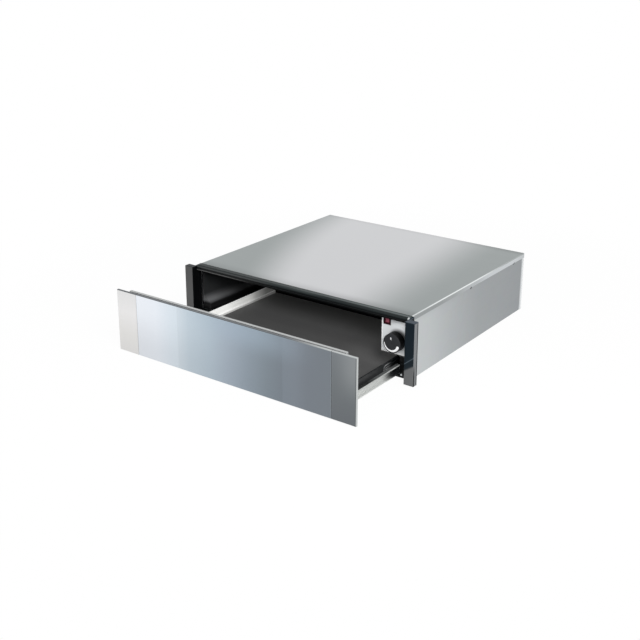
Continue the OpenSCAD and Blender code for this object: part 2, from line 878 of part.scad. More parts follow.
// The fan wheel: back disc, front ring, swept blades, hub and shaft
module fan_wheel() {
    disc = wheel_front + blade_d;
    blade_mid_r = fan_r * (1 + blade_in_share) / 2;
    blade_l = fan_r * (1 - blade_in_share) - blade_t;
    color("lightgray") translate([fan_x, 0, fan_z]) union() {
        rod_y(0, 0, fan_r, disc, disc + wheel_disc_t);
        difference() {
            rod_y(0, 0, fan_r, wheel_front, wheel_front + wheel_disc_t);
            rod_y(0, 0, fan_r * shroud_in_share, wheel_front - cut, wheel_front + wheel_disc_t + cut);
        }
        for (i = [0 : blade_count - 1]) {
            rotate([0, i * 360 / blade_count, 0]) translate([blade_mid_r, wheel_front, 0])
                rotate([0, blade_sweep, 0]) translate([-blade_l / 2, 0, -blade_t / 2])
                    cube([blade_l, blade_d + wheel_disc_t / 2, blade_t]);
        }
        rod_y(0, 0, hub_r, disc - hub_l / 2, disc + wheel_disc_t + hub_l / 4);
        rod_y(0, 0, motor_shaft_r, disc, motor_front + motor_bore_l - fit_gap);
    }
}

module fan_motor() {
    color("dimgray") translate([fan_x, 0, fan_z]) difference() {
        union() {
            rod_y(0, 0, motor_r, motor_front + motor_foot_t, motor_back);
            rod_y(0, 0, motor_r - motor_foot_t, motor_front, motor_back);
        }
        rod_y(0, 0, motor_shaft_r + run_gap, motor_front - cut, motor_front + motor_bore_l);
    }
}

bracket_w = 70;
bracket_h = 60;
bracket_t = 1.5;
bracket_foot = 14;
bracket_screw_share = 0.5;

module motor_bracket_screw_places() {
    for (s = [-1, 1]) {
        translate([fan_x + s * (bracket_w / 2 + bracket_foot * bracket_screw_share), 0, fan_z]) children();
    }
}

// The hat-shaped bracket between motor and rear panel
module motor_bracket() {
    low = fan_z - bracket_h / 2;
    high = fan_z + bracket_h / 2;
    half = bracket_w / 2;
    y0 = motor_back;
    y1 = panel_front;
    color("silver") difference() {
        bar_z([[fan_x - half, y0], [fan_x + half, y0], [fan_x + half, y1 - bracket_t],
               [fan_x + half + bracket_foot, y1 - bracket_t], [fan_x + half + bracket_foot, y1],
               [fan_x + half - bracket_t, y1], [fan_x + half - bracket_t, y0 + bracket_t],
               [fan_x - half + bracket_t, y0 + bracket_t], [fan_x - half + bracket_t, y1],
               [fan_x - half - bracket_foot, y1], [fan_x - half - bracket_foot, y1 - bracket_t],
               [fan_x - half, y1 - bracket_t]],
              low, high);
        motor_bracket_screw_places()
            rod_y(0, 0, screw_r + screw_gap, y1 - bracket_t - cut, y1 + cut);
    }
}

bracket_screw_l = 5;

module bracket_screws() {
    color("lightgray") motor_bracket_screw_places()
        screw_facing_back(0, panel_back, 0, screw_r, screw_head_r, screw_head_h, bracket_screw_l);
}

cutout_side = 24;
cutout_drop = 22.8;
cutout_x = fan_x - fan_r - cutout_side;
cutout_z = ceiling_z - cutout_drop;
cutout_r = 8;
cutout_l = 9;
cutout_flange_r = 10;
cutout_flange_t = 1;
cutout_tab_w = 6.3;
cutout_tab_l = 8;
cutout_tab_t = 0.8;

// The snap-disc cut-out on the baffle, with two blade terminals
module thermal_cutout() {
    foot = cavity_back + liner_t;
    color("saddlebrown") union() {
        rod_y(cutout_x, cutout_z, cutout_flange_r, foot, foot + cutout_flange_t);
        rod_y(cutout_x, cutout_z, cutout_r, foot, foot + cutout_l);
        for (s = [-1, 1]) {
            translate([cutout_x + s * cutout_r / 2 - cutout_tab_t / 2, foot + cutout_l - cutout_tab_t,
                       cutout_z - cutout_tab_w / 2])
                cube([cutout_tab_t, cutout_tab_l, cutout_tab_w]);
        }
    }
}

terminal_ways = 3;
terminal_pitch = 12;
terminal_d = 16;
terminal_h = 22;
terminal_z = gland_z + terminal_h;
terminal_hole_r = 2.4;
terminal_base_t = 2;

// The terminal block, with a wire hole and a screw well for each way
module terminal_block() {
    w = terminal_ways * terminal_pitch;
    x0 = -gland_x - w / 2;
    color("ivory") difference() {
        union() {
            block([x0 - terminal_base_t, panel_front - terminal_base_t, terminal_z],
                  [x0 + w + terminal_base_t, panel_front, terminal_z + terminal_h]);
            block([x0, panel_front - terminal_d, terminal_z + terminal_base_t],
                  [x0 + w, panel_front, terminal_z + terminal_h - terminal_base_t]);
        }
        for (i = [0 : terminal_ways - 1]) {
            x = x0 + (i + 0.5) * terminal_pitch;
            translate([x, panel_front - terminal_d * 0.4, terminal_z - cut])
                cylinder(r = terminal_hole_r, h = terminal_h / 3 + cut);
            rod_y(x, terminal_z + terminal_h / 2, terminal_hole_r, panel_front - terminal_d - cut,
                  panel_front - terminal_d * 0.7);
        }
    }
}

gland_nut_r = 12;
gland_nut_t = 5;
gland_dome_l = 10;
gland_collar_t = 3;
gland_thread_l = 9;

// The gland in the rear panel, bored through for the supply cable
module cable_gland() {
    color("dimgray") difference() {
        union() {
            rod_y(-gland_x, gland_z, gland_thread_r, panel_front - gland_thread_l, panel_back);
            rod_y(-gland_x, gland_z, gland_nut_r, panel_back, panel_back + gland_collar_t);
            translate([-gland_x, panel_back + gland_collar_t, gland_z]) rotate([-90, 0, 0])
                cylinder(r1 = gland_thread_r + gland_collar_t, r2 = gland_hole_r + gland_collar_t,
                         h = gland_dome_l, $fn = 64);
        }
        rod_y(-gland_x, gland_z, gland_hole_r, panel_front - gland_thread_l - cut,
              panel_back + gland_collar_t + gland_dome_l + cut);
    }
}

// The six-sided nut inside the rear panel
module gland_nut() {
    color("dimgray") difference() {
        translate([-gland_x, panel_front - gland_nut_t, gland_z]) rotate([-90, 0, 0])
            cylinder(r = gland_nut_r, h = gland_nut_t, $fn = 6);
        rod_y(-gland_x, gland_z, gland_thread_r + run_gap, panel_front - gland_nut_t - cut,
              panel_front + cut);
    }
}

// Controls

plate_screw_side = 8;
plate_screw_low = 22;
plate_screw_drop = 5.5;
plate_screw_x = plate_right - plate_screw_side;
plate_screw_zs = [plate_foot + plate_screw_low, plate_top - plate_screw_drop];
plate_screw_l = 8;
boss_r = 2.8;
neck_r = 5;
switch_body_gap = 0.2;

// The control box's outline, drawn in by a wall; its slope follows the liner's shoulder
function box_outline(wall) = [
    [box_left + wall, box_foot + wall], [box_low_right - wall / 2, box_foot + wall],
    [box_right - wall, shoulder_top + fit_gap * 3 + wall / 2], [box_right - wall, plate_top - wall],
    [box_left + wall, plate_top - wall]
];

// The box behind the control plate, open to the front
module control_box() {
    back = plate_back + box_d;
    color("black") union() {
        difference() {
            bar_y(box_outline(0), plate_back, back);
            bar_y(box_outline(box_wall), plate_back - cut, back - box_wall);
        }
        for (z = plate_screw_zs) {
            difference() {
                union() {
                    rod_y(plate_screw_x, z, boss_r, plate_back, back - box_wall);
                    block([plate_screw_x, plate_back, z - boss_r / 2],
                          [box_right - box_wall / 2, back - box_wall, z + boss_r / 2]);
                }
                rod_y(plate_screw_x, z, small_screw_r, plate_back - cut, plate_back + plate_screw_l);
            }
        }
    }
}

module control_plate() {
    color("whitesmoke") difference() {
        translate([(plate_left + plate_right) / 2, plate_back, (plate_foot + plate_top) / 2])
            rotate([90, 0, 0]) linear_extrude(plate_t) round_rect(plate_w, plate_h, plate_r);
        rod_y(knob_x, knob_z, neck_r + fit_gap, plate_face - cut, plate_back + cut);
        block([switch_x - switch_hole_x, plate_face - cut, switch_z - switch_hole_z],
              [switch_x + switch_hole_x, plate_back + cut, switch_z + switch_hole_z]);
        for (z = plate_screw_zs) {
            rod_y(plate_screw_x, z, small_screw_r + screw_gap, plate_face - cut, plate_back + cut);
        }
    }
}

module plate_screws() {
    color("lightgray") for (z = plate_screw_zs) {
        screw_facing_front(plate_screw_x, plate_face, z, small_screw_r - screw_gap, small_head_r,
                           small_head_h, plate_screw_l - fit_gap);
    }
}

thermostat_w = 24;
thermostat_h = 28;
thermostat_d = 22;
thermostat_bore_l = 15;
thermostat_clear = 2;
shaft_flat_share = 0.6;
shaft_in_knob = 9.5;

// The thermostat behind the plate, with its neck through the plate's hole
module thermostat_body() {
    front = plate_back + thermostat_clear;
    color("gray") difference() {
        union() {
            block([knob_x - thermostat_w / 2, front, knob_z - thermostat_h / 2],
                  [knob_x + thermostat_w / 2, front + thermostat_d, knob_z + thermostat_h / 2]);
            rod_y(knob_x, knob_z, neck_r, plate_face, front);
            rod_y(knob_x, knob_z, neck_r * 1.8, plate_back, front);
        }
        rod_y(knob_x, knob_z, shaft_r + run_gap, plate_face - cut, plate_face + thermostat_bore_l);
    }
}

// The shaft's end, with its flat
module shaft_rod(r, from, to) {
    difference() {
        rod_y(0, 0, r, from, to);
        block([-r - cut, from - cut, r * shaft_flat_share], [r + cut, plate_face - fit_gap, r + cut]);
    }
}

module thermostat_shaft() {
    color("lightgray") translate([knob_x, 0, knob_z])
        shaft_rod(shaft_r, plate_face - fit_gap * 2 - shaft_in_knob,
                  plate_face + thermostat_bore_l - fit_gap);
}

knob_back = plate_face - fit_gap * 2;
knob_front = knob_back - knob_d;
knob_skirt_t = 2.2;
knob_draft = 0.2;
knob_bevel = 0.6;

// The knob: a skirt at the plate, a slightly tapered grip and a bevelled front edge
module knob() {
    grip_r = knob_r - knob_draft;
    color("black") translate([knob_x, 0, knob_z]) difference() {
        translate([0, knob_back, 0]) rotate([90, 0, 0]) rotate_extrude($fn = 96)
            polygon([[0, 0], [knob_r, 0], [knob_r, knob_skirt_t], [grip_r, knob_skirt_t + knob_draft],
                     [grip_r - knob_draft, knob_d - knob_bevel], [grip_r - knob_draft - knob_bevel, knob_d],
                     [0, knob_d]]);
        shaft_rod(shaft_r + run_gap / 2, knob_back - shaft_in_knob - fit_gap, knob_back + cut);
    }
}

mark_t = 0.4;
mark_rim = 0.5;
mark_r = knob_r - knob_draft * 2 - knob_bevel - mark_rim;
mark_thin = 0.9;
mark_thick = 4.4;
mark_start = 188;
mark_end = 340;
mark_steps = 24;
index_w = 1.9;
index_in = 7.6;
index_out = 12.8;
index_turn = 12;

// The pale wedge that widens round the knob's lower rim
function mark_point(i, grow) =
    let (share = i / mark_steps, turn = mark_start + (mark_end - mark_start) * share)
    (mark_r - grow * (mark_thin + (mark_thick - mark_thin) * share)) * [cos(turn), sin(turn)];

module knob_marking() {
    wedge = concat([for (i = [0 : mark_steps]) mark_point(i, 0)],
                   [for (i = [mark_steps : -1 : 0]) mark_point(i, 1)]);
    color("white") translate([knob_x, knob_front, knob_z]) rotate([90, 0, 0]) linear_extrude(mark_t) {
        polygon(wedge);
        rotate(index_turn) translate([-index_w / 2, index_in]) square([index_w, index_out - index_in]);
    }
}

bezel_t = 1.4;
switch_wall = 1.1;
switch_hole_x = switch_w / 2 - switch_wall;
switch_hole_z = switch_h / 2 - switch_wall / 2;
switch_in_x = switch_hole_x - switch_wall;
switch_in_z = switch_hole_z - switch_wall / 2;
switch_depth = 16;
rocker_pin_r = 0.9;
rocker_gap = 0.35;
pivot_in = 2.2;
rocker_y = plate_back + pivot_in;
rocker_r = switch_in_z - rocker_gap;
rocker_half = rocker_r * 0.9;
rocker_dish = 1.1;
rocker_front = sqrt(rocker_r * rocker_r - rocker_half * rocker_half);

// The switch's bezel and body, hollow where the rocker tilts
module switch_frame() {
    pocket_back = rocker_y + rocker_r * 0.5 + rocker_gap * 2;
    color("maroon") difference() {
        union() {
            block([switch_x - switch_w / 2, plate_face - bezel_t, switch_z - switch_h / 2],
                  [switch_x + switch_w / 2, plate_face, switch_z + switch_h / 2]);
            block([switch_x - switch_hole_x + switch_body_gap, plate_face - bezel_t / 2,
                   switch_z - switch_hole_z + switch_body_gap],
                  [switch_x + switch_hole_x - switch_body_gap, plate_back + switch_depth,
                   switch_z + switch_hole_z - switch_body_gap]);
        }
        block([switch_x - switch_in_x, plate_face - bezel_t - cut, switch_z - switch_in_z],
              [switch_x + switch_in_x, pocket_back, switch_z + switch_in_z]);
        rod_x(rocker_y, switch_z, rocker_pin_r + run_gap, switch_x - switch_in_x - switch_wall * 0.7,
              switch_x + switch_in_x + switch_wall * 0.7);
    }
}

// The rocker, tilted to one side on its two pins
module rocker() {
    half_x = switch_in_x - rocker_gap;
    color("red") translate([0, rocker_y, switch_z]) rotate([rocker_tilt, 0, 0]) union() {
        bar_x([[-rocker_front, -rocker_half], [-rocker_front + rocker_dish, 0],
               [-rocker_front, rocker_half], [rocker_front / 2, rocker_half],
               [rocker_r * 0.5, 0], [rocker_front / 2, -rocker_half]],
              switch_x - half_x, switch_x + half_x);
        rod_x(0, 0, rocker_pin_r, switch_x - switch_in_x - switch_wall * 0.5,
              switch_x + switch_in_x + switch_wall * 0.5);
    }
}

// Slides

rivet_r = 1.8;
rivet_head_r = 3.4;
rivet_head_t = 1.2;
rivet_shares = [0.08, 0.5, 0.92];

module slide_rivet_places() {
    for (share = rivet_shares) {
        translate([0, channel_front + channel_l * share, slide_z]) children();
    }
}

// The fixed channel on the liner, open towards the tray, with lips that hold the balls
module slide_channel() {
    low = slide_z - channel_half;
    high = slide_z + channel_half;
    lip_x = channel_mouth + slide_t;
    difference() {
        bar_y([[channel_out, low], [channel_out, high], [channel_mouth, high],
               [channel_mouth, high - slide_t - ball_lip_h], [lip_x, high - slide_t - ball_lip_h],
               [lip_x, high - slide_t], [channel_web, high - slide_t], [channel_web, low + slide_t],
               [lip_x, low + slide_t], [lip_x, low + slide_t + ball_lip_h],
               [channel_mouth, low + slide_t + ball_lip_h], [channel_mouth, low]],
              channel_front, channel_front + channel_l);
        slide_rivet_places() rod_x(0, 0, rivet_r + screw_gap, channel_web - cut, channel_out + cut);
    }
}

module slide_channel_left() {
    color("silver") on_left() slide_channel();
}

module slide_channel_right() {
    color("silver") slide_channel();
}

module slide_rivets() {
    color("lightgray") on_both() slide_rivet_places() {
        rod_x(0, 0, rivet_r, channel_web, ledge_out);
        rod_x(0, 0, rivet_head_r, ledge_out, ledge_out + rivet_head_t);
    }
}

member_screw_shares = [0.1, 0.5, 0.9];

module member_screw_places() {
    for (share = member_screw_shares) {
        translate([0, member_front + member_l * share, slide_z]) children();
    }
}

// The moving member on the tray's side, open outwards, with a row of round holes
module slide_member() {
    low = slide_z - member_half;
    high = slide_z + member_half;
    lip_x = member_out - slide_t;
    difference() {
        bar_y([[tray_x, low], [tray_x, high], [lip_x, high], [lip_x, high + ball_lip_h],
               [member_out, high + ball_lip_h], [member_out, high - slide_t],
               [member_web, high - slide_t], [member_web, low + slide_t], [member_out, low + slide_t],
               [member_out, low - ball_lip_h], [lip_x, low - ball_lip_h], [lip_x, low]],
              member_front, member_front + member_l);
        member_screw_places() rod_x(0, 0, screw_r + screw_gap, tray_x - cut, member_web + cut);
    }
}

module slide_member_left() {
    color("gainsboro") on_left() slide_member();
}

module slide_member_right() {
    color("gainsboro") slide_member();
}

module member_screws() {
    color("lightgray") on_both() member_screw_places() {
        rod_x(0, 0, screw_r, tray_in + fit_gap, member_web);
        rod_x(0, 0, screw_head_r, member_web, member_web + screw_head_h);
    }
}

// The places of a cage's balls, above and below the moving member
module ball_places() {
    for (s = [-1, 1]) {
        for (i = [0 : ball_count - 1]) {
            translate([ball_x, cage_middle + (i - (ball_count - 1) / 2) * ball_pitch, slide_z + s * ball_z])
                children();
        }
    }
}

cage_edge = 0.5;

// The cage: a thin channel round the moving member, with a hole for each ball
module ball_cage() {
    cage_in = ball_x - ball_d / 2 - cage_edge;
    web_in = cage_web_out - cage_t;
    far = ball_z + cage_t / 2;
    near = ball_z - cage_t / 2;
    difference() {
        bar_y([[cage_web_out, slide_z - far], [cage_web_out, slide_z + far], [cage_in, slide_z + far],
               [cage_in, slide_z + near], [web_in, slide_z + near], [web_in, slide_z - near],
               [cage_in, slide_z - near], [cage_in, slide_z - far]],
              cage_middle - cage_l / 2, cage_middle + cage_l / 2);
        ball_places() cylinder(r = ball_d / 2 + screw_gap, h = cage_t + 2 * cut, center = true);
    }
}

module ball_cage_left() {
    color("goldenrod") on_left() ball_cage();
}

module ball_cage_right() {
    color("goldenrod") ball_cage();
}

module balls_left() {
    color("white") on_left() ball_places() sphere(ball_d / 2);
}

module balls_right() {
    color("white") ball_places() sphere(ball_d / 2);
}

// Tray

// A pressed panel in a side of the tray: a sunk field with a raised island
module side_press() {
    y = tray_front + press_front + press_l / 2;
    z = tray_z + press_low + press_h / 2;
    ring = press_h * 0.22;
    translate([tray_x + cut, y, z]) rotate([90, 0, -90]) linear_extrude(cut + press_depth) difference() {
        round_rect(press_l, press_h, press_h * 0.42);
        round_rect(press_l - 2 * ring, press_h - 2 * ring, press_h * 0.26);
    }
}

front_screw_shares = [0.26, 0.81];
front_screw_rise = 15.8;

module front_screw_places() {
    for (share = front_screw_shares) {
        for (s = [-1, 1]) {
            translate([s * tray_x * share, 0, tray_z + front_screw_rise]) children();
        }
    }
}

module tray() {
    middle = (tray_front + tray_back) / 2;
    color("black") difference() {
        translate([0, middle, tray_z]) linear_extrude(tray_h) round_rect(tray_w, tray_d, tray_r);
        translate([0, middle, floor_z]) linear_extrude(tray_h)
            round_rect(tray_w - 2 * hem_t, tray_d - 2 * hem_t, tray_r - hem_t);
        on_both() side_press();
        for (i = [0 : bead_count - 1]) {
            translate([0, tray_front + tray_d * (i + 1) / (bead_count + 1), tray_z - cut])
                linear_extrude(cut + bead_depth) slot_shape(tray_w * 0.86, bead_w);
        }
        on_both() member_screw_places() rod_x(0, 0, screw_r + screw_gap, tray_in + screw_gap, tray_x + cut);
        front_screw_places() rod_y(0, 0, screw_r + screw_gap, tray_front - cut, tray_front + hem_t + cut);
    }
}

// A bright trim inside the tray's side, with a foot that holds the mat's edge
module side_trim() {
    foot_top = mat_top + strip_foot_h;
    in_x = tray_in - strip_t;
    foot_x = in_x - strip_step;
    end_gap = hem_t + tray_r - hem_t + fit_gap;
    bar_y([[tray_in, floor_z + strip_h], [in_x, floor_z + strip_h], [in_x, foot_top],
           [foot_x, foot_top], [foot_x, mat_top], [foot_x + strip_t, mat_top],
           [foot_x + strip_t, foot_top - strip_t], [tray_in, foot_top - strip_t]],
          tray_front + end_gap, tray_back - end_gap);
}

module side_trim_left() {
    color("white") on_left() side_trim();
}

module side_trim_right() {
    color("white") side_trim();
}

module rubber_mat() {
    color("darkslategray") translate([0, (tray_front + tray_back) / 2, floor_z]) linear_extrude(mat_t)
        round_rect(tray_w - 2 * hem_t - 2 * fit_gap, tray_d - 2 * hem_t - 2 * fit_gap, tray_r - hem_t);
}

// Drawer front

module glass_panel() {
    color("lightsteelblue")
        bevel_panel(-glass_x, glass_x, front_foot, front_top, front_face, front_t, panel_bevel);
}

module end_panel_left() {
    color("gainsboro") bevel_panel(-front_w / 2, -front_w / 2 + end_w, front_foot, front_top, front_face,
                                   front_t, panel_bevel);
}

module end_panel_right() {
    color("gray") bevel_panel(front_w / 2 - end_w, front_w / 2, front_foot, front_top, front_face,
                              front_t, panel_bevel);
}

// The pan behind glass and end panels, with flanges to the rear on three sides
module front_carrier() {
    half = carrier_w / 2;
    flange_back = front_rear + carrier_t + carrier_flange;
    color("silver") difference() {
        union() {
            block([-half, front_rear, carrier_foot], [half, carrier_rear, carrier_foot + carrier_h]);
            on_both() block([half - carrier_t, front_rear, carrier_foot],
                            [half, flange_back, rail_low - fit_gap]);
            block([-slide_notch_in, front_rear, carrier_foot],
                  [slide_notch_in, flange_back, carrier_foot + carrier_t]);
            on_both() block([member_out + fit_gap, front_rear, carrier_foot],
                            [half, flange_back, carrier_foot + carrier_t]);
        }
        front_screw_places() rod_y(0, 0, screw_r + screw_gap, front_rear - cut, carrier_rear + cut);
        rivet_line_places() rod_y(0, 0, rivet_r + screw_gap, front_rear - cut, carrier_rear + cut);
    }
}

rail_low = front_top - rail_rise - rail_web_h;

// The grip rail: a web on the carrier, a step and a lip with a turned-down edge
module grip_rail() {
    step = front_top - rail_rise;
    lip_front = carrier_rear + rail_gap;
    lip_back = lip_front + rail_lip_d;
    color("lightgray") difference() {
        bar_x([[carrier_rear, rail_low], [carrier_rear, step], [lip_front, step + rail_gap],
               [lip_front, front_top], [lip_back, front_top], [lip_back, front_top - rail_hook_h],
               [lip_back - rail_wall, front_top - rail_hook_h], [lip_back - rail_wall, front_top - rail_wall],
               [lip_front + rail_wall, front_top - rail_wall], [lip_front + rail_wall, step + rail_gap],
               [carrier_rear + rail_wall, step], [carrier_rear + rail_wall, rail_low]],
              -rail_w / 2, rail_w / 2);
        rivet_line_places() rod_y(0, 0, rivet_r + screw_gap, carrier_rear - cut,
                                  carrier_rear + rail_wall + cut);
    }
}

rail_rivet_count = 5;
rail_rivet_pitch = rail_w * 0.218;

module rivet_line_places() {
    for (i = [0 : rail_rivet_count - 1]) {
        translate([(i - (rail_rivet_count - 1) / 2) * rail_rivet_pitch, 0, rail_low + rail_web_h / 2])
            children();
    }
}

module rail_rivets() {
    color("lightgray") rivet_line_places() {
        rod_y(0, 0, rivet_r, front_rear, carrier_rear + rail_wall);
        rod_y(0, 0, rivet_head_r, carrier_rear + rail_wall, carrier_rear + rail_wall + rivet_head_t);
    }
}

module front_screws() {
    color("lightgray") front_screw_places()
        screw_facing_back(0, tray_front + hem_t, 0, screw_r, screw_head_r, screw_head_h,
                          hem_t + carrier_t - screw_gap);
}

buffer_margin = 13;

module buffers() {
    color("black") on_both() for (z = [front_foot + buffer_margin, front_top - buffer_margin]) {
        rod_y(mouth_x + post_w / 2, z, buffer_r, front_rear, front_rear + buffer_l);
    }
}

base_pan();
side_wall_left();
side_wall_right();
rear_panel();
top_cover();
cover_screws();
front_post_left();
front_post_right();
post_screws();
top_trim();
front_sill();
sill_screws();
liner_left();
liner_right();
cavity_ceiling();
insulation_mat();
air_baffle();
baffle_screws();
heater_element();
heater_clips();
fan_motor();
motor_bracket();
bracket_screws();
fan_wheel();
thermal_cutout();
terminal_block();
cable_gland();
gland_nut();
control_box();
control_plate();
plate_screws();
thermostat_body();
thermostat_shaft();
knob();
knob_marking();
switch_frame();
rocker();
slide_channel_left();
slide_channel_right();
slide_rivets();
ball_cage_left();
ball_cage_right();
balls_left();
balls_right();
slide_member_left();
slide_member_right();
member_screws();
tray();
side_trim_left();
side_trim_right();
rubber_mat();
glass_panel();
end_panel_left();
end_panel_right();
front_carrier();
grip_rail();
rail_rivets();
front_screws();
buffers();
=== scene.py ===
import bpy, bmesh, json, math
import numpy as np
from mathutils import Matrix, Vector


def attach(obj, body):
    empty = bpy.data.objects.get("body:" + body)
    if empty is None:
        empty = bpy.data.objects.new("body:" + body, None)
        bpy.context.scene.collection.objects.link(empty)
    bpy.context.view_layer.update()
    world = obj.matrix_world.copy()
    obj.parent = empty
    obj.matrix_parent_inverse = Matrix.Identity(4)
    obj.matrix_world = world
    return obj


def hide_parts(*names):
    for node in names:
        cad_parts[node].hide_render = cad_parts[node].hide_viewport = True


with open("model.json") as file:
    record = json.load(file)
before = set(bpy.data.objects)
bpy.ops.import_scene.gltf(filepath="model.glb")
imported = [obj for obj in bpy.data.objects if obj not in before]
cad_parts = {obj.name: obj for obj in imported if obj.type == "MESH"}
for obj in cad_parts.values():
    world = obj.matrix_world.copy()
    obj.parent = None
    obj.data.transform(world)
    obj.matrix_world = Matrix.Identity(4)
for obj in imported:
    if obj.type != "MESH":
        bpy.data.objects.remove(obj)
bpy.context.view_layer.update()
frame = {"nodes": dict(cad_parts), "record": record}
nodes = frame["nodes"]
print("stage: frame loaded,", len(nodes), "nodes")


class Wire:
    # one shader socket; + - * / and ** on it add Math nodes, numbers may stand on either side
    def __init__(self, graph, socket):
        self.graph, self.socket = graph, socket

    def maths(self, operation, *values):
        return self.graph.node("ShaderNodeMath", {"operation": operation}, dict(enumerate(values)))

    def __add__(self, other): return self.maths("ADD", self, other)
    def __radd__(self, other): return self.maths("ADD", other, self)
    def __sub__(self, other): return self.maths("SUBTRACT", self, other)
    def __rsub__(self, other): return self.maths("SUBTRACT", other, self)
    def __mul__(self, other): return self.maths("MULTIPLY", self, other)
    def __rmul__(self, other): return self.maths("MULTIPLY", other, self)
    def __truediv__(self, other): return self.maths("DIVIDE", self, other)
    def __rtruediv__(self, other): return self.maths("DIVIDE", other, self)
    def __pow__(self, other): return self.maths("POWER", self, other)
    def __rpow__(self, other): return self.maths("POWER", other, self)
    def __neg__(self): return self.maths("MULTIPLY", self, -1.0)
    def __abs__(self): return self.maths("ABSOLUTE", self)
    def atMost(self, other): return self.maths("MINIMUM", self, other)
    def atLeast(self, other): return self.maths("MAXIMUM", self, other)
    def above(self, other): return self.maths("GREATER_THAN", self, other)
    def below(self, other): return self.maths("LESS_THAN", self, other)

    def step(self, low, high):
        # soft step: 0 below low, 1 above high, an S curve between them
        return self.graph.node("ShaderNodeMapRange", {"interpolation_type": "SMOOTHSTEP"},
                               {"Value": self, "From Min": low, "From Max": high})


class Graph:
    def __init__(self, owner):
        owner.use_nodes = True
        self.tree = owner.node_tree

    def node(self, kind, settings=None, inputs=None, output=0):
        # adds one node: its settings come first, then the values or links of its sockets; a colour ramp takes
        # its stops, as places from 0 to 1 with colours, and how the tones between them spread
        made = self.tree.nodes.new(kind)
        for key, value in (settings or {}).items():
            if key == "stops":
                row = made.color_ramp.elements
                row.remove(row[-1])
                row[0].position, row[0].color = value[0][0], (*value[0][1], 1.0)
                for place, colour in value[1:]:
                    row.new(place).color = (*colour, 1.0)
            elif key == "spread":
                made.color_ramp.interpolation = value
            else:
                setattr(made, key, value)
        for key, value in (inputs or {}).items():
            socket = made.inputs[key]
            if isinstance(value, Wire):
                self.tree.links.new(value.socket, socket)
            elif isinstance(value, (tuple, list)) and socket.type == "RGBA" and len(value) == 3:
                socket.default_value = (*value, 1.0)
            else:
                socket.default_value = value
        if isinstance(output, (tuple, list)):
            return [Wire(self, made.outputs[o]) for o in output]
        return Wire(self, made.outputs[output])

    def place(self):
        # object coordinates in millimetres, as three wires, and the plain vector
        vector = self.node("ShaderNodeTexCoord", {}, {}, "Object")
        x, y, z = self.node("ShaderNodeSeparateXYZ", {}, {0: vector}, (0, 1, 2))
        return x * 1000.0, y * 1000.0, z * 1000.0, vector

    def noise(self, vector, stretch, detail=3.0, rough=0.5):
        # cloudy noise, with how many cells a metre it has along X, Y and Z
        scaled = self.node("ShaderNodeMapping", {}, {"Vector": vector, "Scale": stretch})
        return self.node("ShaderNodeTexNoise", {}, {"Vector": scaled, "Scale": 1.0, "Detail": detail,
                                                    "Roughness": rough}, 0)

    def cells(self, vector, stretch, feature="F1", output="Distance"):
        scaled = self.node("ShaderNodeMapping", {}, {"Vector": vector, "Scale": stretch})
        return self.node("ShaderNodeTexVoronoi", {"feature": feature}, {"Vector": scaled, "Scale": 1.0},
                         output)

    def ramp(self, value, stops, spread="EASE"):
        # a row of tones at readings of a value; before the first and after the last the tone stays
        low, high = stops[0][0], stops[-1][0]
        share = self.node("ShaderNodeMapRange", {}, {"Value": value, "From Min": low, "From Max": high})
        row = [((at - low) / (high - low), tint(tone)) for at, tone in stops]
        return self.node("ShaderNodeValToRGB", {"stops": row, "spread": spread}, {"Fac": share}, 0)

    def blend(self, share, first, second, how="MIX"):
        first, second = [tint(c) if isinstance(c, str) else c for c in (first, second)]
        return self.node("ShaderNodeMix", {"data_type": "RGBA", "blend_type": how},
                         {0: share, 6: first, 7: second}, 2)

    def dim(self, colour, share):
        # colour times a number, channel by channel
        return self.node("ShaderNodeVectorMath", {"operation": "SCALE"}, {0: colour, "Scale": share}, 0)

    def edges(self):
        # 1 on the bevels that eased() cuts, 0 on the flats
        return self.node("ShaderNodeAttribute", {"attribute_name": "bevelled"}, {}, "Fac")

    def bump(self, height, strength, depth):
        return self.node("ShaderNodeBump", {}, {"Height": height, "Strength": strength, "Distance": depth}, 0)


def tint(tone):
    # a screen tone such as "9ca2a2" as linear light: each channel to about the power 2.2
    parts = [int(tone[i:i + 2], 16) / 255 for i in (0, 2, 4)]
    return tuple(p / 12.92 if p <= 0.04045 else ((p + 0.055) / 1.055) ** 2.4 for p in parts)


class Finish(Graph):
    def __init__(self, name):
        self.material = bpy.data.materials.new(name)
        super().__init__(self.material)
        self.shader = self.tree.nodes["Principled BSDF"]

    def surface(self, **sockets):
        # feeds the shader's sockets, under plain names, with wires, screen tones or numbers
        names = {"colour": "Base Color", "rough": "Roughness", "metal": "Metallic", "normal": "Normal",
                 "coat": "Coat Weight", "coatRough": "Coat Roughness", "gloss": "Specular IOR Level",
                 "glow": "Emission Color", "glowPower": "Emission Strength"}
        for key, value in sockets.items():
            socket = self.shader.inputs[names[key]]
            if isinstance(value, Wire):
                self.tree.links.new(value.socket, socket)
            elif isinstance(value, str):
                socket.default_value = (*tint(value), 1.0)
            else:
                socket.default_value = value
        return self.material


camera = {"place": (1.22747, -1.86421, 0.86384), "azimuth": 36.40, "elevation": 18.0, "lens": 58.725,
          "sensor": 36.0, "shift": (0.011875, -0.10), "clip": (0.02, 60.0)}
light = {"sky": 0.45, "backdrop": 1.0,
         "lamps": [("softboxFront", (0.45, -2.30, 1.25), (0.0, -0.15, 0.05), 13.0, 1.5),
                   ("softboxRight", (1.65, -1.45, 1.45), (-0.2, -0.2, 0.02), 46.0, 1.2)]}
floorSheet = {"half": 7.0, "drop": 0.0006, "shown": 0.965, "fade": (450.0, 1100.0)}

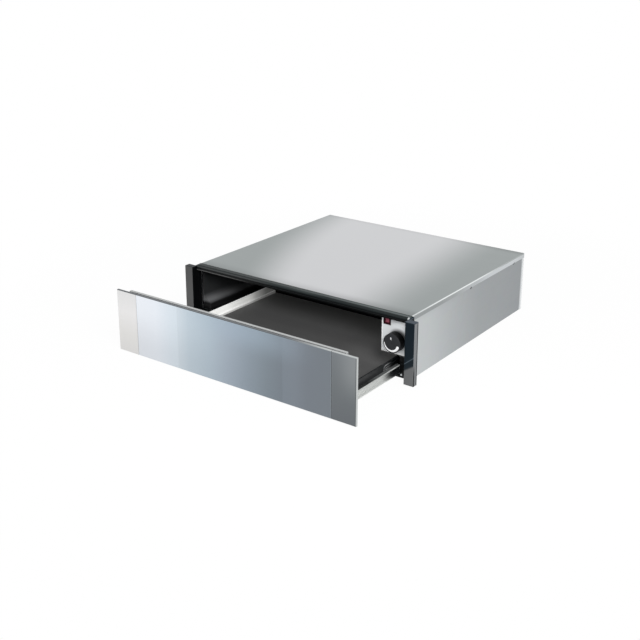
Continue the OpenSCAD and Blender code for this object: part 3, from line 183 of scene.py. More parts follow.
lens = bpy.data.cameras.new("photoCamera")
lens.lens, lens.sensor_width = camera["lens"], camera["sensor"]
lens.shift_x, lens.shift_y = camera["shift"]
lens.clip_start, lens.clip_end = camera["clip"]
viewer = bpy.data.objects.new("photoCamera", lens)
bpy.context.scene.collection.objects.link(viewer)
viewer.location = camera["place"]
viewer.rotation_euler = (math.radians(90 - camera["elevation"]), 0.0, math.radians(camera["azimuth"]))
bpy.context.scene.camera = viewer
bpy.context.scene.view_settings.view_transform = "Standard"


def seenRays(graph):
    # 1 for rays from the camera and for mirror or glass rays, 0 for the rest
    seen, glossy, through = graph.node("ShaderNodeLightPath", {}, {}, ("Is Camera Ray", "Is Glossy Ray",
                                                                      "Is Transmission Ray"))
    return seen.atLeast(glossy).atLeast(through)


def makeSky():
    world = bpy.data.worlds.new("paleStudio")
    bpy.context.scene.world = world
    sky = Graph(world)
    back = sky.tree.nodes["Background"]
    power = seenRays(sky) * (light["backdrop"] - light["sky"]) + light["sky"]
    back.inputs["Color"].default_value = (1.0, 1.0, 1.0, 1.0)
    sky.tree.links.new(power.socket, back.inputs["Strength"])


def makeFloor():
    # a flat sheet just under the case: part plain white to the camera, part lit so that it keeps the shadow
    half, low = floorSheet["half"], -floorSheet["drop"]
    mesh = bpy.data.meshes.new("paleFloor")
    mesh.from_pydata([(-half, -half, low), (half, -half, low), (half, half, low), (-half, half, low)], [],
                     [(0, 1, 2, 3)])
    floor = bpy.data.objects.new("paleFloor", mesh)
    bpy.context.scene.collection.objects.link(floor)
    skin = Finish("paleFloorPaint")
    x, y, z, vector = skin.place()
    grain = skin.noise(vector, (60.0, 60.0, 60.0))
    lit = skin.surface(colour=skin.dim((1.0, 1.0, 1.0), 0.98 + grain * 0.02), rough=0.9, gloss=0.0)
    plain = skin.tree.nodes.new("ShaderNodeEmission")
    plain.inputs["Color"].default_value = (1.0, 1.0, 1.0, 1.0)
    mixed = skin.tree.nodes.new("ShaderNodeMixShader")
    away = ((x * x + y * y) ** 0.5).step(*floorSheet["fade"])
    share = seenRays(skin) * (away * (1.0 - floorSheet["shown"]) + floorSheet["shown"])
    skin.tree.links.new(share.socket, mixed.inputs[0])
    skin.tree.links.new(skin.shader.outputs[0], mixed.inputs[1])
    skin.tree.links.new(plain.outputs[0], mixed.inputs[2])
    skin.tree.links.new(mixed.outputs[0], skin.tree.nodes["Material Output"].inputs["Surface"])
    mesh.materials.append(lit)


def makeLamp(name, place, target, power, size):
    lamp = bpy.data.lights.new(name, "AREA")
    lamp.energy, lamp.shape, lamp.size = power, "DISK", size
    holder = bpy.data.objects.new(name, lamp)
    holder.visible_glossy = False
    bpy.context.scene.collection.objects.link(holder)
    holder.location = place
    holder.rotation_euler = (Vector(target) - Vector(place)).to_track_quat("-Z", "Y").to_euler()


makeSky()
makeFloor()
for lamp in light["lamps"]:  # name, place, target, watts, size
    makeLamp(*lamp)
print("stage: camera, floor and light ready")


sheet = {"coverDark": "979d9d", "coverLight": "cdced0", "grain": 0.018, "rough": 0.34, "edge": "eef2f2",
         "fieldLeft": -196.0, "fieldSlope": -0.34, "fieldCurve": 0.0004, "fieldSoft": 72.0,
         "fieldRight": (66.0, 240.0), "fieldLean": 0.08, "frontShade": (-212.0, -244.0),
         "frontAcross": (-120.0, 240.0), "rearShade": (222.0, 243.0), "rearAcross": (60.0, 260.0),
         "flangeTop": 133.3, "bend": (270.6, 271.2), "bendRise": (-240.0, -120.0), "bendFall": (10.0, 170.0),
         "flange": [(-245, "9b9fa0"), (-150, "9b9fa0"), (-90, "a4a8a9"), (0, "babec0"), (90, "cdd1d4"),
                    (180, "ced2d5"), (245, "c5c9cb")],
         "wall": [(-250, "c8cbcc"), (-178, "c2c6c7"), (-84, "b2b6b8"), (30, "a2a6a8"), (240, "989c9f")],
         "wallTop": (110.0, 128.0), "wallTopTone": "8a8e90", "wallFace": 271.3,
         "wrap": (234.2, 238.0), "wrapEnd": 243.5, "wrapTone": "f0f2f3",
         "notches": (193.6, -7.5), "notchUp": 124.4, "notchEdge": (2.6, 4.0), "notchTone": "101214"}


def grained(skin, vector, stretch, amount, colour):
    # fine streaks: the colour times 1 plus or minus a small amount
    streak = skin.noise(vector, stretch, 4.0, 0.6)
    return skin.dim(colour, (streak - 0.5) * amount + 1.0), streak


def coverFinish():
    # broad field of painted reflection down the middle: its left border is a soft curve, left plus slope
    # times y plus curve times y squared, its right border a straight soft line; painted shade darkens it
    # towards the front and rear edges
    skin = Finish("zincCover")
    x, y, z, vector = skin.place()
    border = y * sheet["fieldSlope"] + y * y * sheet["fieldCurve"] + sheet["fieldLeft"]
    field = (x - border).step(-sheet["fieldSoft"], sheet["fieldSoft"])
    field = field * (1.0 - (x + y * sheet["fieldLean"]).step(*sheet["fieldRight"]))
    tone = skin.blend(field, sheet["coverDark"], sheet["coverLight"])
    tone = skin.dim(tone, 1.0 - y.step(*sheet["frontShade"]) * (x.step(*sheet["frontAcross"]) * 0.13 + 0.15))
    tone = skin.dim(tone, 1.0 - y.step(*sheet["rearShade"]) * (x.step(*sheet["rearAcross"]) * 0.14 + 0.06))
    tone, streak = grained(skin, vector, (7.0, 260.0, 60.0), sheet["grain"], tone)
    cloud = skin.noise(vector, (9.0, 9.0, 9.0), 2.0)
    tone = skin.dim(tone, (cloud - 0.5) * 0.03 + 1.0)
    # the flange is painted with a fall of light, darker at the front and lighter towards the back
    tone = skin.blend(z.below(sheet["flangeTop"]), tone, skin.ramp(y, sheet["flange"]))
    # a painted highlight along the rounded bend at each side
    bend = abs(x).step(*sheet["bend"]) * z.step(sheet["flangeTop"] - 0.4, sheet["flangeTop"])
    bend = bend * (y.step(*sheet["bendRise"]) * 0.25 + 0.7) * (1.0 - y.step(*sheet["bendFall"]) * 0.8)
    tone = skin.blend(bend, tone, sheet["edge"])
    # paler bevels: a painted highlight
    tone = skin.blend(skin.edges() * 0.6, tone, sheet["edge"])
    scratch = skin.noise(vector, (400.0, 12.0, 30.0), 2.0).step(0.70, 0.78)
    tone = skin.blend(scratch * 0.06, tone, "ffffff")
    return skin.surface(colour=tone, metal=1.0, rough=streak * 0.08 + cloud * 0.05 + sheet["rough"],
                        normal=skin.bump(streak, 0.05, 0.0002))


def wallFinish():
    # the fall of light is painted in: lightest at the front, sinking to the back as the room's light falls
    # off, and a little darker towards the top; the rear panel's wrap painted bright as a highlight, two small
    # notches under the cover painted dark as shade, each a spot by its distance from the notch's middle, and
    # paler bevels as a painted highlight
    skin = Finish("zincWalls")
    x, y, z, vector = skin.place()
    tone = skin.ramp(y, sheet["wall"], "LINEAR")
    tone = skin.blend(z.step(*sheet["wallTop"]) * 0.12, tone, sheet["wallTopTone"])
    tone, streak = grained(skin, vector, (60.0, 6.0, 240.0), sheet["grain"], tone)
    cloud = skin.noise(vector, (11.0, 11.0, 11.0), 2.0)
    spangle = skin.cells(vector, (70.0, 70.0, 70.0), "F1", "Color")
    tone = skin.dim(tone, (cloud - 0.5) * 0.03 + 1.0)
    tone = skin.blend(0.012, tone, spangle, "OVERLAY")
    outside = abs(x).above(sheet["wallFace"])
    # the wrap: painted bright as a highlight
    wrap = outside * y.step(*sheet["wrap"]) * (1.0 - y.above(sheet["wrapEnd"]))
    tone = skin.blend(wrap * 0.95, tone, sheet["wrapTone"])
    # the notches: painted shade
    for place in sheet["notches"]:
        away = ((y - place) ** 2.0 + (z - sheet["notchUp"]) ** 2.0) ** 0.5
        tone = skin.blend((1.0 - away.step(*sheet["notchEdge"])) * outside, tone, sheet["notchTone"])
    tone = skin.blend(skin.edges() * 0.7, tone, sheet["edge"])
    return skin.surface(colour=tone, metal=1.0, rough=streak * 0.08 + cloud * 0.05 + sheet["rough"],
                        normal=skin.bump(streak, 0.05, 0.0002))


def plainMetal(name, tone, rough=0.3, stretch=(40.0, 40.0, 40.0), amount=0.04, edge="f2f4f4", dust=0.05,
               metal=1.0, paint=None, glow=0.0):
    # plain metal with streaks along its own grain, a little dust in patches and paler bevels as a painted
    # highlight;
    # a glow, where given, is painted light that brightens the part with its own colour
    skin = Finish(name)
    x, y, z, vector = skin.place()
    base = paint(skin, x, y, z) if paint else tint(tone)
    base, streak = grained(skin, vector, stretch, amount, base)
    patch = skin.noise(vector, (22.0, 22.0, 22.0), 3.0)
    base = skin.blend(patch.step(0.45, 0.75) * dust, base, "8c8a86")
    base = skin.blend(skin.edges() * 0.6, base, edge)
    # painted light: the part glows with its own colour, though it is no lamp
    if glow:
        skin.surface(glow=base, glowPower=glow)
    return skin.surface(colour=base, metal=metal, rough=(streak - 0.5) * 0.16 + (patch - 0.5) * 0.1 + rough,
                        normal=skin.bump(streak, 0.08, 0.0002))


black = {"enamel": "0c0d0f", "coat": 0.22, "edge": "5a6062", "rough": 0.42}


def enamelFinish(name, paint=None, mottled=0.25, coat=black["coat"], edge=black["edge"], edgeShare=0.8):
    # baked black enamel: faint orange-peel, dust that softens the gloss, paler edges that catch the light
    skin = Finish(name)
    x, y, z, vector = skin.place()
    base = paint(skin, x, y, z) if paint else tint(black["enamel"])
    peel = skin.noise(vector, (420.0, 420.0, 420.0), 2.0)
    patch = skin.noise(vector, (18.0, 18.0, 18.0), 3.0)
    base = skin.dim(base, (patch - 0.5) * mottled + 1.0)
    base = skin.blend(skin.edges() * edgeShare, base, edge)
    return skin.surface(colour=base, rough=(patch - 0.5) * 0.12 + black["rough"], gloss=0.05, coat=coat,
                        coatRough=0.12, normal=skin.bump(peel, 0.04, 0.0001))


def plasticFinish(name, tone, rough=0.45, gloss=0.35, edge="ffffff", edgeShare=0.15, grain=260.0, coat=0.0,
                  paint=None):
    # moulded plastic: fine spark-eroded grain, and bevels painted in the edge colour: a painted highlight
    # where it is paler, painted shade where it is darker (the rocker)
    skin = Finish(name)
    x, y, z, vector = skin.place()
    spark = skin.noise(vector, (grain, grain, grain), 2.0)
    patch = skin.noise(vector, (30.0, 30.0, 30.0), 3.0)
    base = skin.dim(paint(skin, x, y, z) if paint else tint(tone), (patch - 0.5) * 0.12 + 1.0)
    base = skin.blend(skin.edges() * edgeShare, base, edge)
    return skin.surface(colour=base, rough=(spark - 0.5) * 0.15 + (patch - 0.5) * 0.1 + rough, gloss=gloss,
                        coat=coat, coatRough=0.08, normal=skin.bump(spark, 0.08, 0.0002))


rim = {"upperAt": 133.0, "upperFade": (130.0, 255.0), "upperLeft": "5c6064", "upperRight": "bec2c2",
       "line": (295.6, 296.8), "lineTone": "5c6061", "endAt": 297.8, "endTone": "c6c9c9",
       "glintEnd": 290.0, "glintTone": "c8cccd"}
glass = {"fade": [(-245, "dfe3e9"), (-190, "dde2e9"), (-150, "d1dae2"), (-131, "cdd7df"), (-100, "bcc9d3"),
                  (-47, "aebcc7"), (0, "9eaab6"), (47, "8c98a3"), (94, "7d8891"), (133, "757e87"),
                  (160, "757d86"), (190, "6f767e"), (245, "6e757c")],
         "steps": [(-131.0, 0.055), (133.0, -0.09)], "stepSoft": 1.5, "lift": 1.025, "rough": 0.07,
         "topLift": 0.115, "topLiftEnd": 210.0, "topLiftRun": 450.0, "topFade": (12.0, 118.0),
         "skyTone": "a6b8c8", "skyShare": 0.38, "skyUp": (72.0, 124.0), "skyLeft": (-120.0, 30.0),
         "skyRight": (60.0, 225.0)}


def rimmed(skin, x, z, tone):
    # ground rims of the front, in painted light: the upper one runs from dark at the left to light as a
    # painted reflection, the right end has a painted dark line and a painted highlight on its end face, and
    # the other bevels a faint painted highlight
    upper = skin.blend(x.step(*rim["upperFade"]), rim["upperLeft"], rim["upperRight"])
    tone = skin.blend(z.above(rim["upperAt"]), tone, upper)
    tone = skin.blend(x.step(*rim["line"]) * z.below(rim["upperAt"]) * 0.8, tone, rim["lineTone"])
    tone = skin.blend(x.above(rim["endAt"]) * z.below(rim["upperAt"] + 0.4), tone, rim["endTone"])
    # a faint painted highlight on the bevels
    glint = skin.edges() * z.below(rim["upperAt"] + 0.2) * x.below(rim["glintEnd"])
    return skin.blend(glint * 0.18, tone, rim["glintTone"])


def glassFinish():
    # mirror-like grey blue glass over a painted back, with its reflections painted into the colour: it fades
    # from light at the left to dark at the right, with two faint upright steps; the left part is lighter
    # above and darker below, by an amount that falls evenly to nothing at topLiftEnd; a pale blue painted
    # reflection of the sky lies high in the middle
    skin = Finish("mirrorGlass")
    x, y, z, vector = skin.place()
    tone = skin.ramp(x, glass["fade"], "LINEAR")
    for place, drop in glass["steps"]:
        past = x.step(place - glass["stepSoft"], place + glass["stepSoft"])
        tone = skin.dim(tone, 1.0 - past * drop + drop * 0.5)
    lift = (glass["topLiftEnd"] - x).atLeast(0.0) * (glass["topLift"] / glass["topLiftRun"])
    tone = skin.dim(tone, (z.step(*glass["topFade"]) * 2.0 - 1.0) * lift + 1.0)
    haze = skin.noise(vector, (14.0, 14.0, 30.0), 3.0)
    speck = skin.noise(vector, (900.0, 900.0, 900.0), 1.0)
    smear = skin.noise(vector, (20.0, 20.0, 160.0), 4.0)
    tone = skin.dim(tone, (haze - 0.5) * 0.016 + (speck - 0.5) * 0.012 + glass["lift"])
    # sky: a painted reflection of the sky on the upper middle of the glass
    sky = z.step(*glass["skyUp"]) * x.step(*glass["skyLeft"]) * (1.0 - x.step(*glass["skyRight"]))
    tone = rimmed(skin, x, z, skin.blend(sky * glass["skyShare"], tone, glass["skyTone"]))
    return skin.surface(colour=tone, metal=0.92, rough=smear * 0.05 + haze * 0.04 + glass["rough"],
                        coat=0.5 - z.above(rim["upperAt"]) * 0.5, coatRough=0.03,
                        normal=skin.bump(haze, 0.01, 0.0002))


steel = {"left": [(0, "dad9d8"), (40, "e1e0de"), (90, "edecec"), (134, "e6e6e6")],
         "right": [(0, "6d7175"), (67, "74797c"), (134, "7d8286")], "rough": 0.26,
         "sheenAcross": (246.0, 296.0), "sheenUp": (36.0, 110.0), "sheenTone": "a4a7a8", "sheenShare": 0.4}


def endPanelFinish():
    # stainless end panels, their light painted in: the left one in the light, the right one in shade with a
    # painted sheen, upright brushing on both
    skin = Finish("brushedEnds")
    x, y, z, vector = skin.place()
    leftTone = skin.ramp(z, steel["left"], "LINEAR")
    rightTone = skin.ramp(z, steel["right"], "LINEAR")
    # a painted sheen on the right panel
    sheen = x.step(*steel["sheenAcross"]) * z.step(*steel["sheenUp"]) * steel["sheenShare"]
    tone = skin.blend(x.above(0.0), leftTone, skin.blend(sheen, rightTone, steel["sheenTone"]))
    tone, streak = grained(skin, vector, (900.0, 60.0, 14.0), 0.05, tone)
    patch = skin.noise(vector, (16.0, 16.0, 16.0), 3.0)
    tone = rimmed(skin, x, z, tone)
    return skin.surface(colour=tone, metal=1.0, rough=streak * 0.1 + patch * 0.06 + steel["rough"],
                        normal=skin.bump(streak, 0.06, 0.0002))


mat = {"tones": [(-470, "585858"), (-280, "585858"), (-210, "5a5a5a"), (-180, "646464"), (-160, "707070"),
                 (-140, "808080"), (-110, "8c8c8c"), (-40, "8c8c8c")],
       "cornerAcross": (70.0, 210.0), "cornerAlong": (-270.0, -190.0), "cornerLift": 0.9, "grip": 1.6,
       "rough": 0.8}


def matFinish():
    # rubber mat: fine cross-hatched grip, the product of two sines across and along, and a dull, dusty sheen;
    # painted light brightens it towards the back and on the right side, against the shade of the case
    skin = Finish("rubberMat")
    x, y, z, vector = skin.place()
    across, along = x * mat["grip"], y * mat["grip"]
    grid = across.maths("SINE", across) * along.maths("SINE", along)
    dust = skin.noise(vector, (10.0, 10.0, 10.0), 4.0)
    fine = skin.noise(vector, (700.0, 700.0, 700.0), 2.0)
    # painted light: lighter towards the back and on the right, where the case shades the mat
    tone = skin.ramp(y, mat["tones"], "LINEAR")
    corner = x.step(*mat["cornerAcross"]) * y.step(*mat["cornerAlong"])
    tone = skin.dim(tone, corner * mat["cornerLift"] + 1.0)
    tone = skin.dim(tone, (dust - 0.5) * 0.12 + (fine - 0.5) * 0.08 + 1.0)
    return skin.surface(colour=tone, rough=dust * 0.1 + mat["rough"], gloss=0.08,
                        normal=skin.bump(grid * 0.5 + fine * 0.5, 0.12, 0.0003))


post = {"turnAt": 284.0, "lowerTone": "5e5f60", "upperTone": "182026", "borderSlope": -0.65,
        "border": (35.0, 41.0), "streakSlope": -0.82, "streakUp": 53.8, "streakHalf": 1.6,
        "streakTone": "566169", "leftUp": (60.0, 120.0), "leftLow": "5c5c5c", "leftHigh": "565656",
        "front": -272.9,
        "sideTurn": (-264.0, -262.2), "sideTone": "6e7072", "sideBack": "1c1e20", "footAt": -269.2,
        "footUp": (52.0, 24.0), "footTone": "1a1b1c", "outerAt": 294.0, "outerTone": "0a0b0c",
        "topAt": 131.9, "topLeft": "2a2c2e", "topRight": "39424b"}


def postPaint(skin, x, y, z):
    # painted reflections on each post: soft grey on the face; on the right one it ends at a slanted border,
    # which is a line of height plus slope times x, and a thin paler painted reflection runs along a second
    # such line. The right post's outer side is painted pale in front and dark as shade behind and low down,
    # the other sides are plain near black, and the tops get painted tones of reflected light
    right = x.above(0.0)
    border = z + (x - post["turnAt"]) * post["borderSlope"]
    rightTone = skin.blend(border.step(*post["border"]), post["lowerTone"], post["upperTone"])
    streak = z + (x - post["turnAt"]) * post["streakSlope"] - post["streakUp"]
    streak = (1.0 - abs(streak) / post["streakHalf"]).atLeast(0.0)
    rightTone = skin.blend(streak * 0.7, rightTone, post["streakTone"])
    leftTone = skin.blend(z.step(*post["leftUp"]), post["leftLow"], post["leftHigh"])
    tone = skin.blend(right, leftTone, rightTone)
    side = skin.blend(y.step(*post["sideTurn"]), post["sideTone"], post["sideBack"])
    # painted shade low down at the front of the right post's outer side
    side = skin.blend(y.below(post["footAt"]) * z.step(*post["footUp"]) * 0.95, side, post["footTone"])
    side = skin.blend(x.above(post["outerAt"]), post["outerTone"], side)
    tone = skin.blend(y.below(post["front"]), side, tone)
    return skin.blend(z.above(post["topAt"]), tone, skin.blend(right, post["topLeft"], post["topRight"]))


lining = {"mouth": -249.0, "darkMouth": 60.0, "tone": "2a2b2c", "bandTone": "747577",
          "bands": ((51.5, 0.03, 6.5, 0.8), (39.0, 0.11, 4.0, 0.25)),  # height, fall, half width, share
          "fade": (70.0, 130.0), "foot": (42.0, 50.5), "edgeAt": (-242.5, -246.0), "edgeLow": (46.0, 56.0),
          "edgeHigh": (84.0, 66.0), "edgeTone": "5a5b5c"}


def liningPaint(skin, x, y, z):
    # dark cavity, its light painted in: darker at the mouth and towards the foot as painted shade; two soft
    # bands of painted reflection sink towards the back, each a bell of the height above its own line; a
    # painted highlight along the front edge
    depth = y - lining["mouth"]
    tone = skin.dim(tint(lining["tone"]), depth.step(0.0, lining["darkMouth"]) * 0.8 + 1.0)
    for low, fall, width, share in lining["bands"]:
        away = (z + depth * fall - low) / width
        square = 0.0 - away * away
        bell = square.maths("EXPONENT", square)
        tone = skin.blend(bell * (1.0 - depth.step(*lining["fade"]) * 0.6) * share, tone, lining["bandTone"])
    tone = skin.dim(tone, z.step(*lining["foot"]) * 0.8 + 0.2)
    # a painted highlight along the front edge
    edge = y.step(*lining["edgeAt"]) * z.step(*lining["edgeLow"]) * z.step(*lining["edgeHigh"])
    return skin.blend(edge * 0.6, tone, lining["edgeTone"])


plate = {"tone": "dfe2e4", "axis": (243.0, 79.0), "haze": (15.0, 26.0), "knobShadeTone": "141516",
         "lowShade": (84.0, 54.0), "leftEdge": (207.6, 205.6), "footEdge": (56.0, 50.0),
         "cornerAcross": (224.0, 262.0), "cornerUp": (90.0, 106.0), "switchAt": (216.4, 113.5),
         "switchHalf": (7.7, 7.8), "switchGap": (0.5, 1.5), "switchTone": "240c12", "foot": (47.2, 48.0),
         "footTone": "2a2b2c", "edge": "ffffff"}


def plateFinish():
    # pale satin plate, its light painted in: a dark painted shade lies round the knob, by the distance from
    # its axis, a thin painted shadow lies round the switch frame, by the distance from a rectangle, and
    # another along the foot; painted light brightens the lower part and the upper right corner, and the left
    # edge, the foot edge and the bevels get a painted white highlight
    skin = Finish("paleSatinPlate")
    x, y, z, vector = skin.place()
    across, up = x - plate["axis"][0], z - plate["axis"][1]
    haze = 1.0 - ((across * across + up * up) ** 0.5).step(*plate["haze"])
    cloud = skin.noise(vector, (60.0, 60.0, 60.0), 3.0)
    # painted light: lighter low down
    tone = skin.dim(tint(plate["tone"]), (cloud - 0.5) * 0.03 + z.step(*plate["lowShade"]) * 0.3 + 1.0)
    edge = x.step(*plate["leftEdge"]).atLeast(z.step(*plate["footEdge"]))
    tone = skin.blend(edge * 0.7, tone, plate["edge"])
    # painted light in the upper right corner, shaded by the post
    tone = skin.dim(tone, x.step(*plate["cornerAcross"]) * z.step(*plate["cornerUp"]) * 0.45 + 1.0)
    # painted shade round the knob
    tone = skin.blend(haze * 0.92, tone, plate["knobShadeTone"])
    (middle, high), (halfWide, halfHigh) = plate["switchAt"], plate["switchHalf"]
    beside = (abs(x - middle) - halfWide).atLeast(abs(z - high) - halfHigh)
    # painted shadow round the switch frame
    tone = skin.blend((1.0 - beside.step(*plate["switchGap"])) * 0.9, tone, plate["switchTone"])
    # painted shadow along the foot
    tone = skin.blend(1.0 - z.step(*plate["foot"]), tone, plate["footTone"])
    tone = skin.blend(skin.edges() * 0.7, tone, plate["edge"])
    return skin.surface(colour=tone, rough=cloud * 0.1 + 0.3, gloss=0.3,
                        normal=skin.bump(cloud, 0.03, 0.0002))


dial = {"face": (-262.6, -263.4), "skirtTone": "060607", "faceTone": "323335"}
key = {"middle": (216.4, 113.8), "sideFade": (2.2, 6.4), "endFade": (2.6, 6.6), "tone": "b06070",
       "deepTone": "4a1822"}


def knobPaint(skin, x, y, z):
    # grey front, and a deep black skirt painted as shade
    return skin.blend(y.step(*dial["face"]), dial["skirtTone"], dial["faceTone"])


def rockerPaint(skin, x, y, z):
    # red, paler in the middle as a painted highlight, deepening towards the four sides of the key as painted
    # shade
    aside = abs(x - key["middle"][0]).step(*key["sideFade"])
    aside = aside.atLeast(abs(z - key["middle"][1]).step(*key["endFade"]))
    return skin.blend(aside, key["tone"], key["deepTone"])


member = {"inCase": (-296.0, -256.0), "faceTone": "babcba", "darkTone": "1c1e20",
          "flangeFade": (-350.0, -310.0), "flangeFront": "242626", "flangeBack": "585a5a",
          "lipAt": (242.0, 242.5), "lipFade": (-300.0, -262.0), "lipFront": "a0a2a0", "lipBack": "c8cac8",
          "upperAt": (19.0, 20.4)}
strips = {"tones": [(-460, "f4f4f2"), (-132, "fbfbf8"), (-106, "c0c0be"), (-72, "747472"), (-40, "5a5a58")],
          "low": (15.0, 23.0), "lowTone": "8a8a88", "lineAt": 25.0, "lineHalf": 3.0, "lineTone": "a0a09c"}


def memberPaint(skin, x, y, z):
    # zinc painted light outside the case and dark as shade where it runs into the case; the upper flange
    # painted dark as shade, with a painted highlight along its lip
    face = skin.blend(y.step(*member["inCase"]), member["faceTone"], member["darkTone"])
    flange = skin.blend(y.step(*member["flangeFade"]), member["flangeFront"], member["flangeBack"])
    lip = skin.blend(y.step(*member["lipFade"]), member["lipFront"], member["lipBack"])
    upper = skin.blend(abs(x).step(*member["lipAt"]), flange, lip)
    return skin.blend(z.step(*member["upperAt"]), face, upper)


def trimPaint(skin, x, y, z):
    # polished strip, its light painted in: white near the mouth, falling to grey towards the back and below,
    # and a painted darker line along the middle
    tone = skin.ramp(y, strips["tones"], "LINEAR")
    tone = skin.blend((1.0 - z.step(*strips["low"])) * 0.6, tone, strips["lowTone"])
    line = (1.0 - abs(z - strips["lineAt"]) / strips["lineHalf"]).atLeast(0.0)
    return skin.blend(line * 0.15, tone, strips["lineTone"])


band = {"topFade": (-120.0, 220.0), "topLeft": "2f3434", "topRight": "4e5656", "backAt": -247.4,
        "backTone": "1a2321", "frontAt": -254.5, "frontFade": (0.0, 90.0), "frontTone": "181c1d",
        "faceUp": (128.6, 130.4), "faceLow": "0b0c0d", "faceHigh": "222627", "glintFade": (-40.0, -130.0),
        "glintUp": 130.2, "glintTone": "484a4a", "lipLow": (122.6, 123.4), "lipHigh": (125.6, 124.8),
        "lipFade": (-110.0, -185.0), "lipTone": "5a5a5a", "topAt": (131.9, 133.6),
        "spotAcross": (269.2, 270.0), "spotUp": 131.4, "spotFront": -255.0, "spotTone": "b4b8b8"}


def bandPaint(skin, x, y, z):
    # the black profile over the mouth, its tones painted reflections: a top lighter beside the cover and
    # towards the right, darker along its back edge and at its front bevel, a front face darker below and
    # greyer above, thin painted highlight lines along the lip and the upper face at the left, and a small
    # pale spot at the right end
    top = skin.blend(x.step(*band["topFade"]), band["topLeft"], band["topRight"])
    top = skin.blend(y.above(band["backAt"]), top, band["backTone"])
    front = y.below(band["frontAt"]) * (x.step(*band["frontFade"]) * 0.6 + 0.3)
    top = skin.blend(front, top, band["frontTone"])
    face = skin.blend(z.step(*band["faceUp"]), band["faceLow"], band["faceHigh"])
    # a painted highlight on the upper face at the left
    face = skin.blend(x.step(*band["glintFade"]) * z.above(band["glintUp"]), face, band["glintTone"])
    lip = z.step(*band["lipLow"]) * z.step(*band["lipHigh"]) * x.step(*band["lipFade"])
    tone = skin.blend(z.step(*band["topAt"]), skin.blend(lip, face, band["lipTone"]), top)
    # a small pale spot at the right end
    paleSpot = x.step(*band["spotAcross"]) * z.above(band["spotUp"]) * y.below(band["spotFront"])
    return skin.blend(paleSpot, tone, band["spotTone"])


tray = {"fieldAt": (-176.5, 25.7), "fieldHalf": (99.4, 1.4), "fieldRound": 7.1, "outerRing": (1.6, 2.2),
        "innerRing": (6.6, 1.4), "ringTone": "a4a5a6", "ringFade": (-276.0, -252.0), "sideAt": 233.0,
        "litFade": (-288.0, -256.0), "litTone": "2e2f30", "rimUp": (30.0, 38.0), "tone": "0a0b0c",
        "rimTone": "202325"}


def trayPaint(skin, x, y, z):
    # black enamel, painted greyer on the sides where light falls and paler along the rim; away is the
    # distance from the pressed field's rounded rectangle, and each of its two pale rings, painted highlights
    # on the field's rounded edges that fade into shade towards the back, is 1 less the distance from the ring
    # over its half width
    (middle, high), (halfLong, halfHigh) = tray["fieldAt"], tray["fieldHalf"]
    across, up = abs(y - middle) - halfLong, abs(z - high) - halfHigh
    corner = (across.atLeast(0.0) ** 2.0 + up.atLeast(0.0) ** 2.0) ** 0.5
    away = corner + across.atLeast(up).atMost(0.0) - tray["fieldRound"]
    outer, inner = [1.0 - abs(away + place) / half for place, half in (tray["outerRing"], tray["innerRing"])]
    side = abs(x).above(tray["sideAt"])
    tone = skin.blend(z.step(*tray["rimUp"]) * 0.35, tray["tone"], tray["rimTone"])
    tone = skin.blend(side * (1.0 - y.step(*tray["litFade"])) * 0.85, tone, tray["litTone"])
    ring = outer.atLeast(inner * 0.8).atLeast(0.0) * side * (1.0 - y.step(*tray["ringFade"]))
    return skin.blend(ring * 0.9, tone, tray["ringTone"])


def fluffFinish():
    # pressed fibre: matted strands and darker binder spots
    skin = Finish("pressedFibre")
    vector = skin.place()[-1]
    strands = skin.noise(vector, (180.0, 700.0, 300.0), 5.0, 0.7)
    binder = skin.cells(vector, (90.0, 90.0, 90.0))
    tone = skin.blend(strands, "b09e6a", "e3d8ac")
    tone = skin.blend(binder.step(0.5, 0.1) * 0.3, tone, "8a7440")
    return skin.surface(colour=tone, rough=strands * 0.1 + 0.85, gloss=0.05,
                        normal=skin.bump(strands, 0.6, 0.0008))


tube = {"stains": [(0.3, "5a5650"), (0.45, "6e5f48"), (0.6, "54505a"), (0.75, "46505e")], "rough": 0.4}


def heaterFinish():
    # heat-stained tube: straw, brown and blue bands drifting along it
    skin = Finish("heatStainedTube")
    vector = skin.place()[-1]
    drift = skin.noise(vector, (9.0, 9.0, 9.0), 2.0)
    tone = skin.ramp(drift, tube["stains"])
    fine = skin.noise(vector, (300.0, 300.0, 300.0), 3.0)
    tone = skin.dim(tone, (fine - 0.5) * 0.3 + 1.0)
    return skin.surface(colour=tone, metal=0.9, rough=fine * 0.2 + tube["rough"],
                        normal=skin.bump(fine, 0.15, 0.0002))


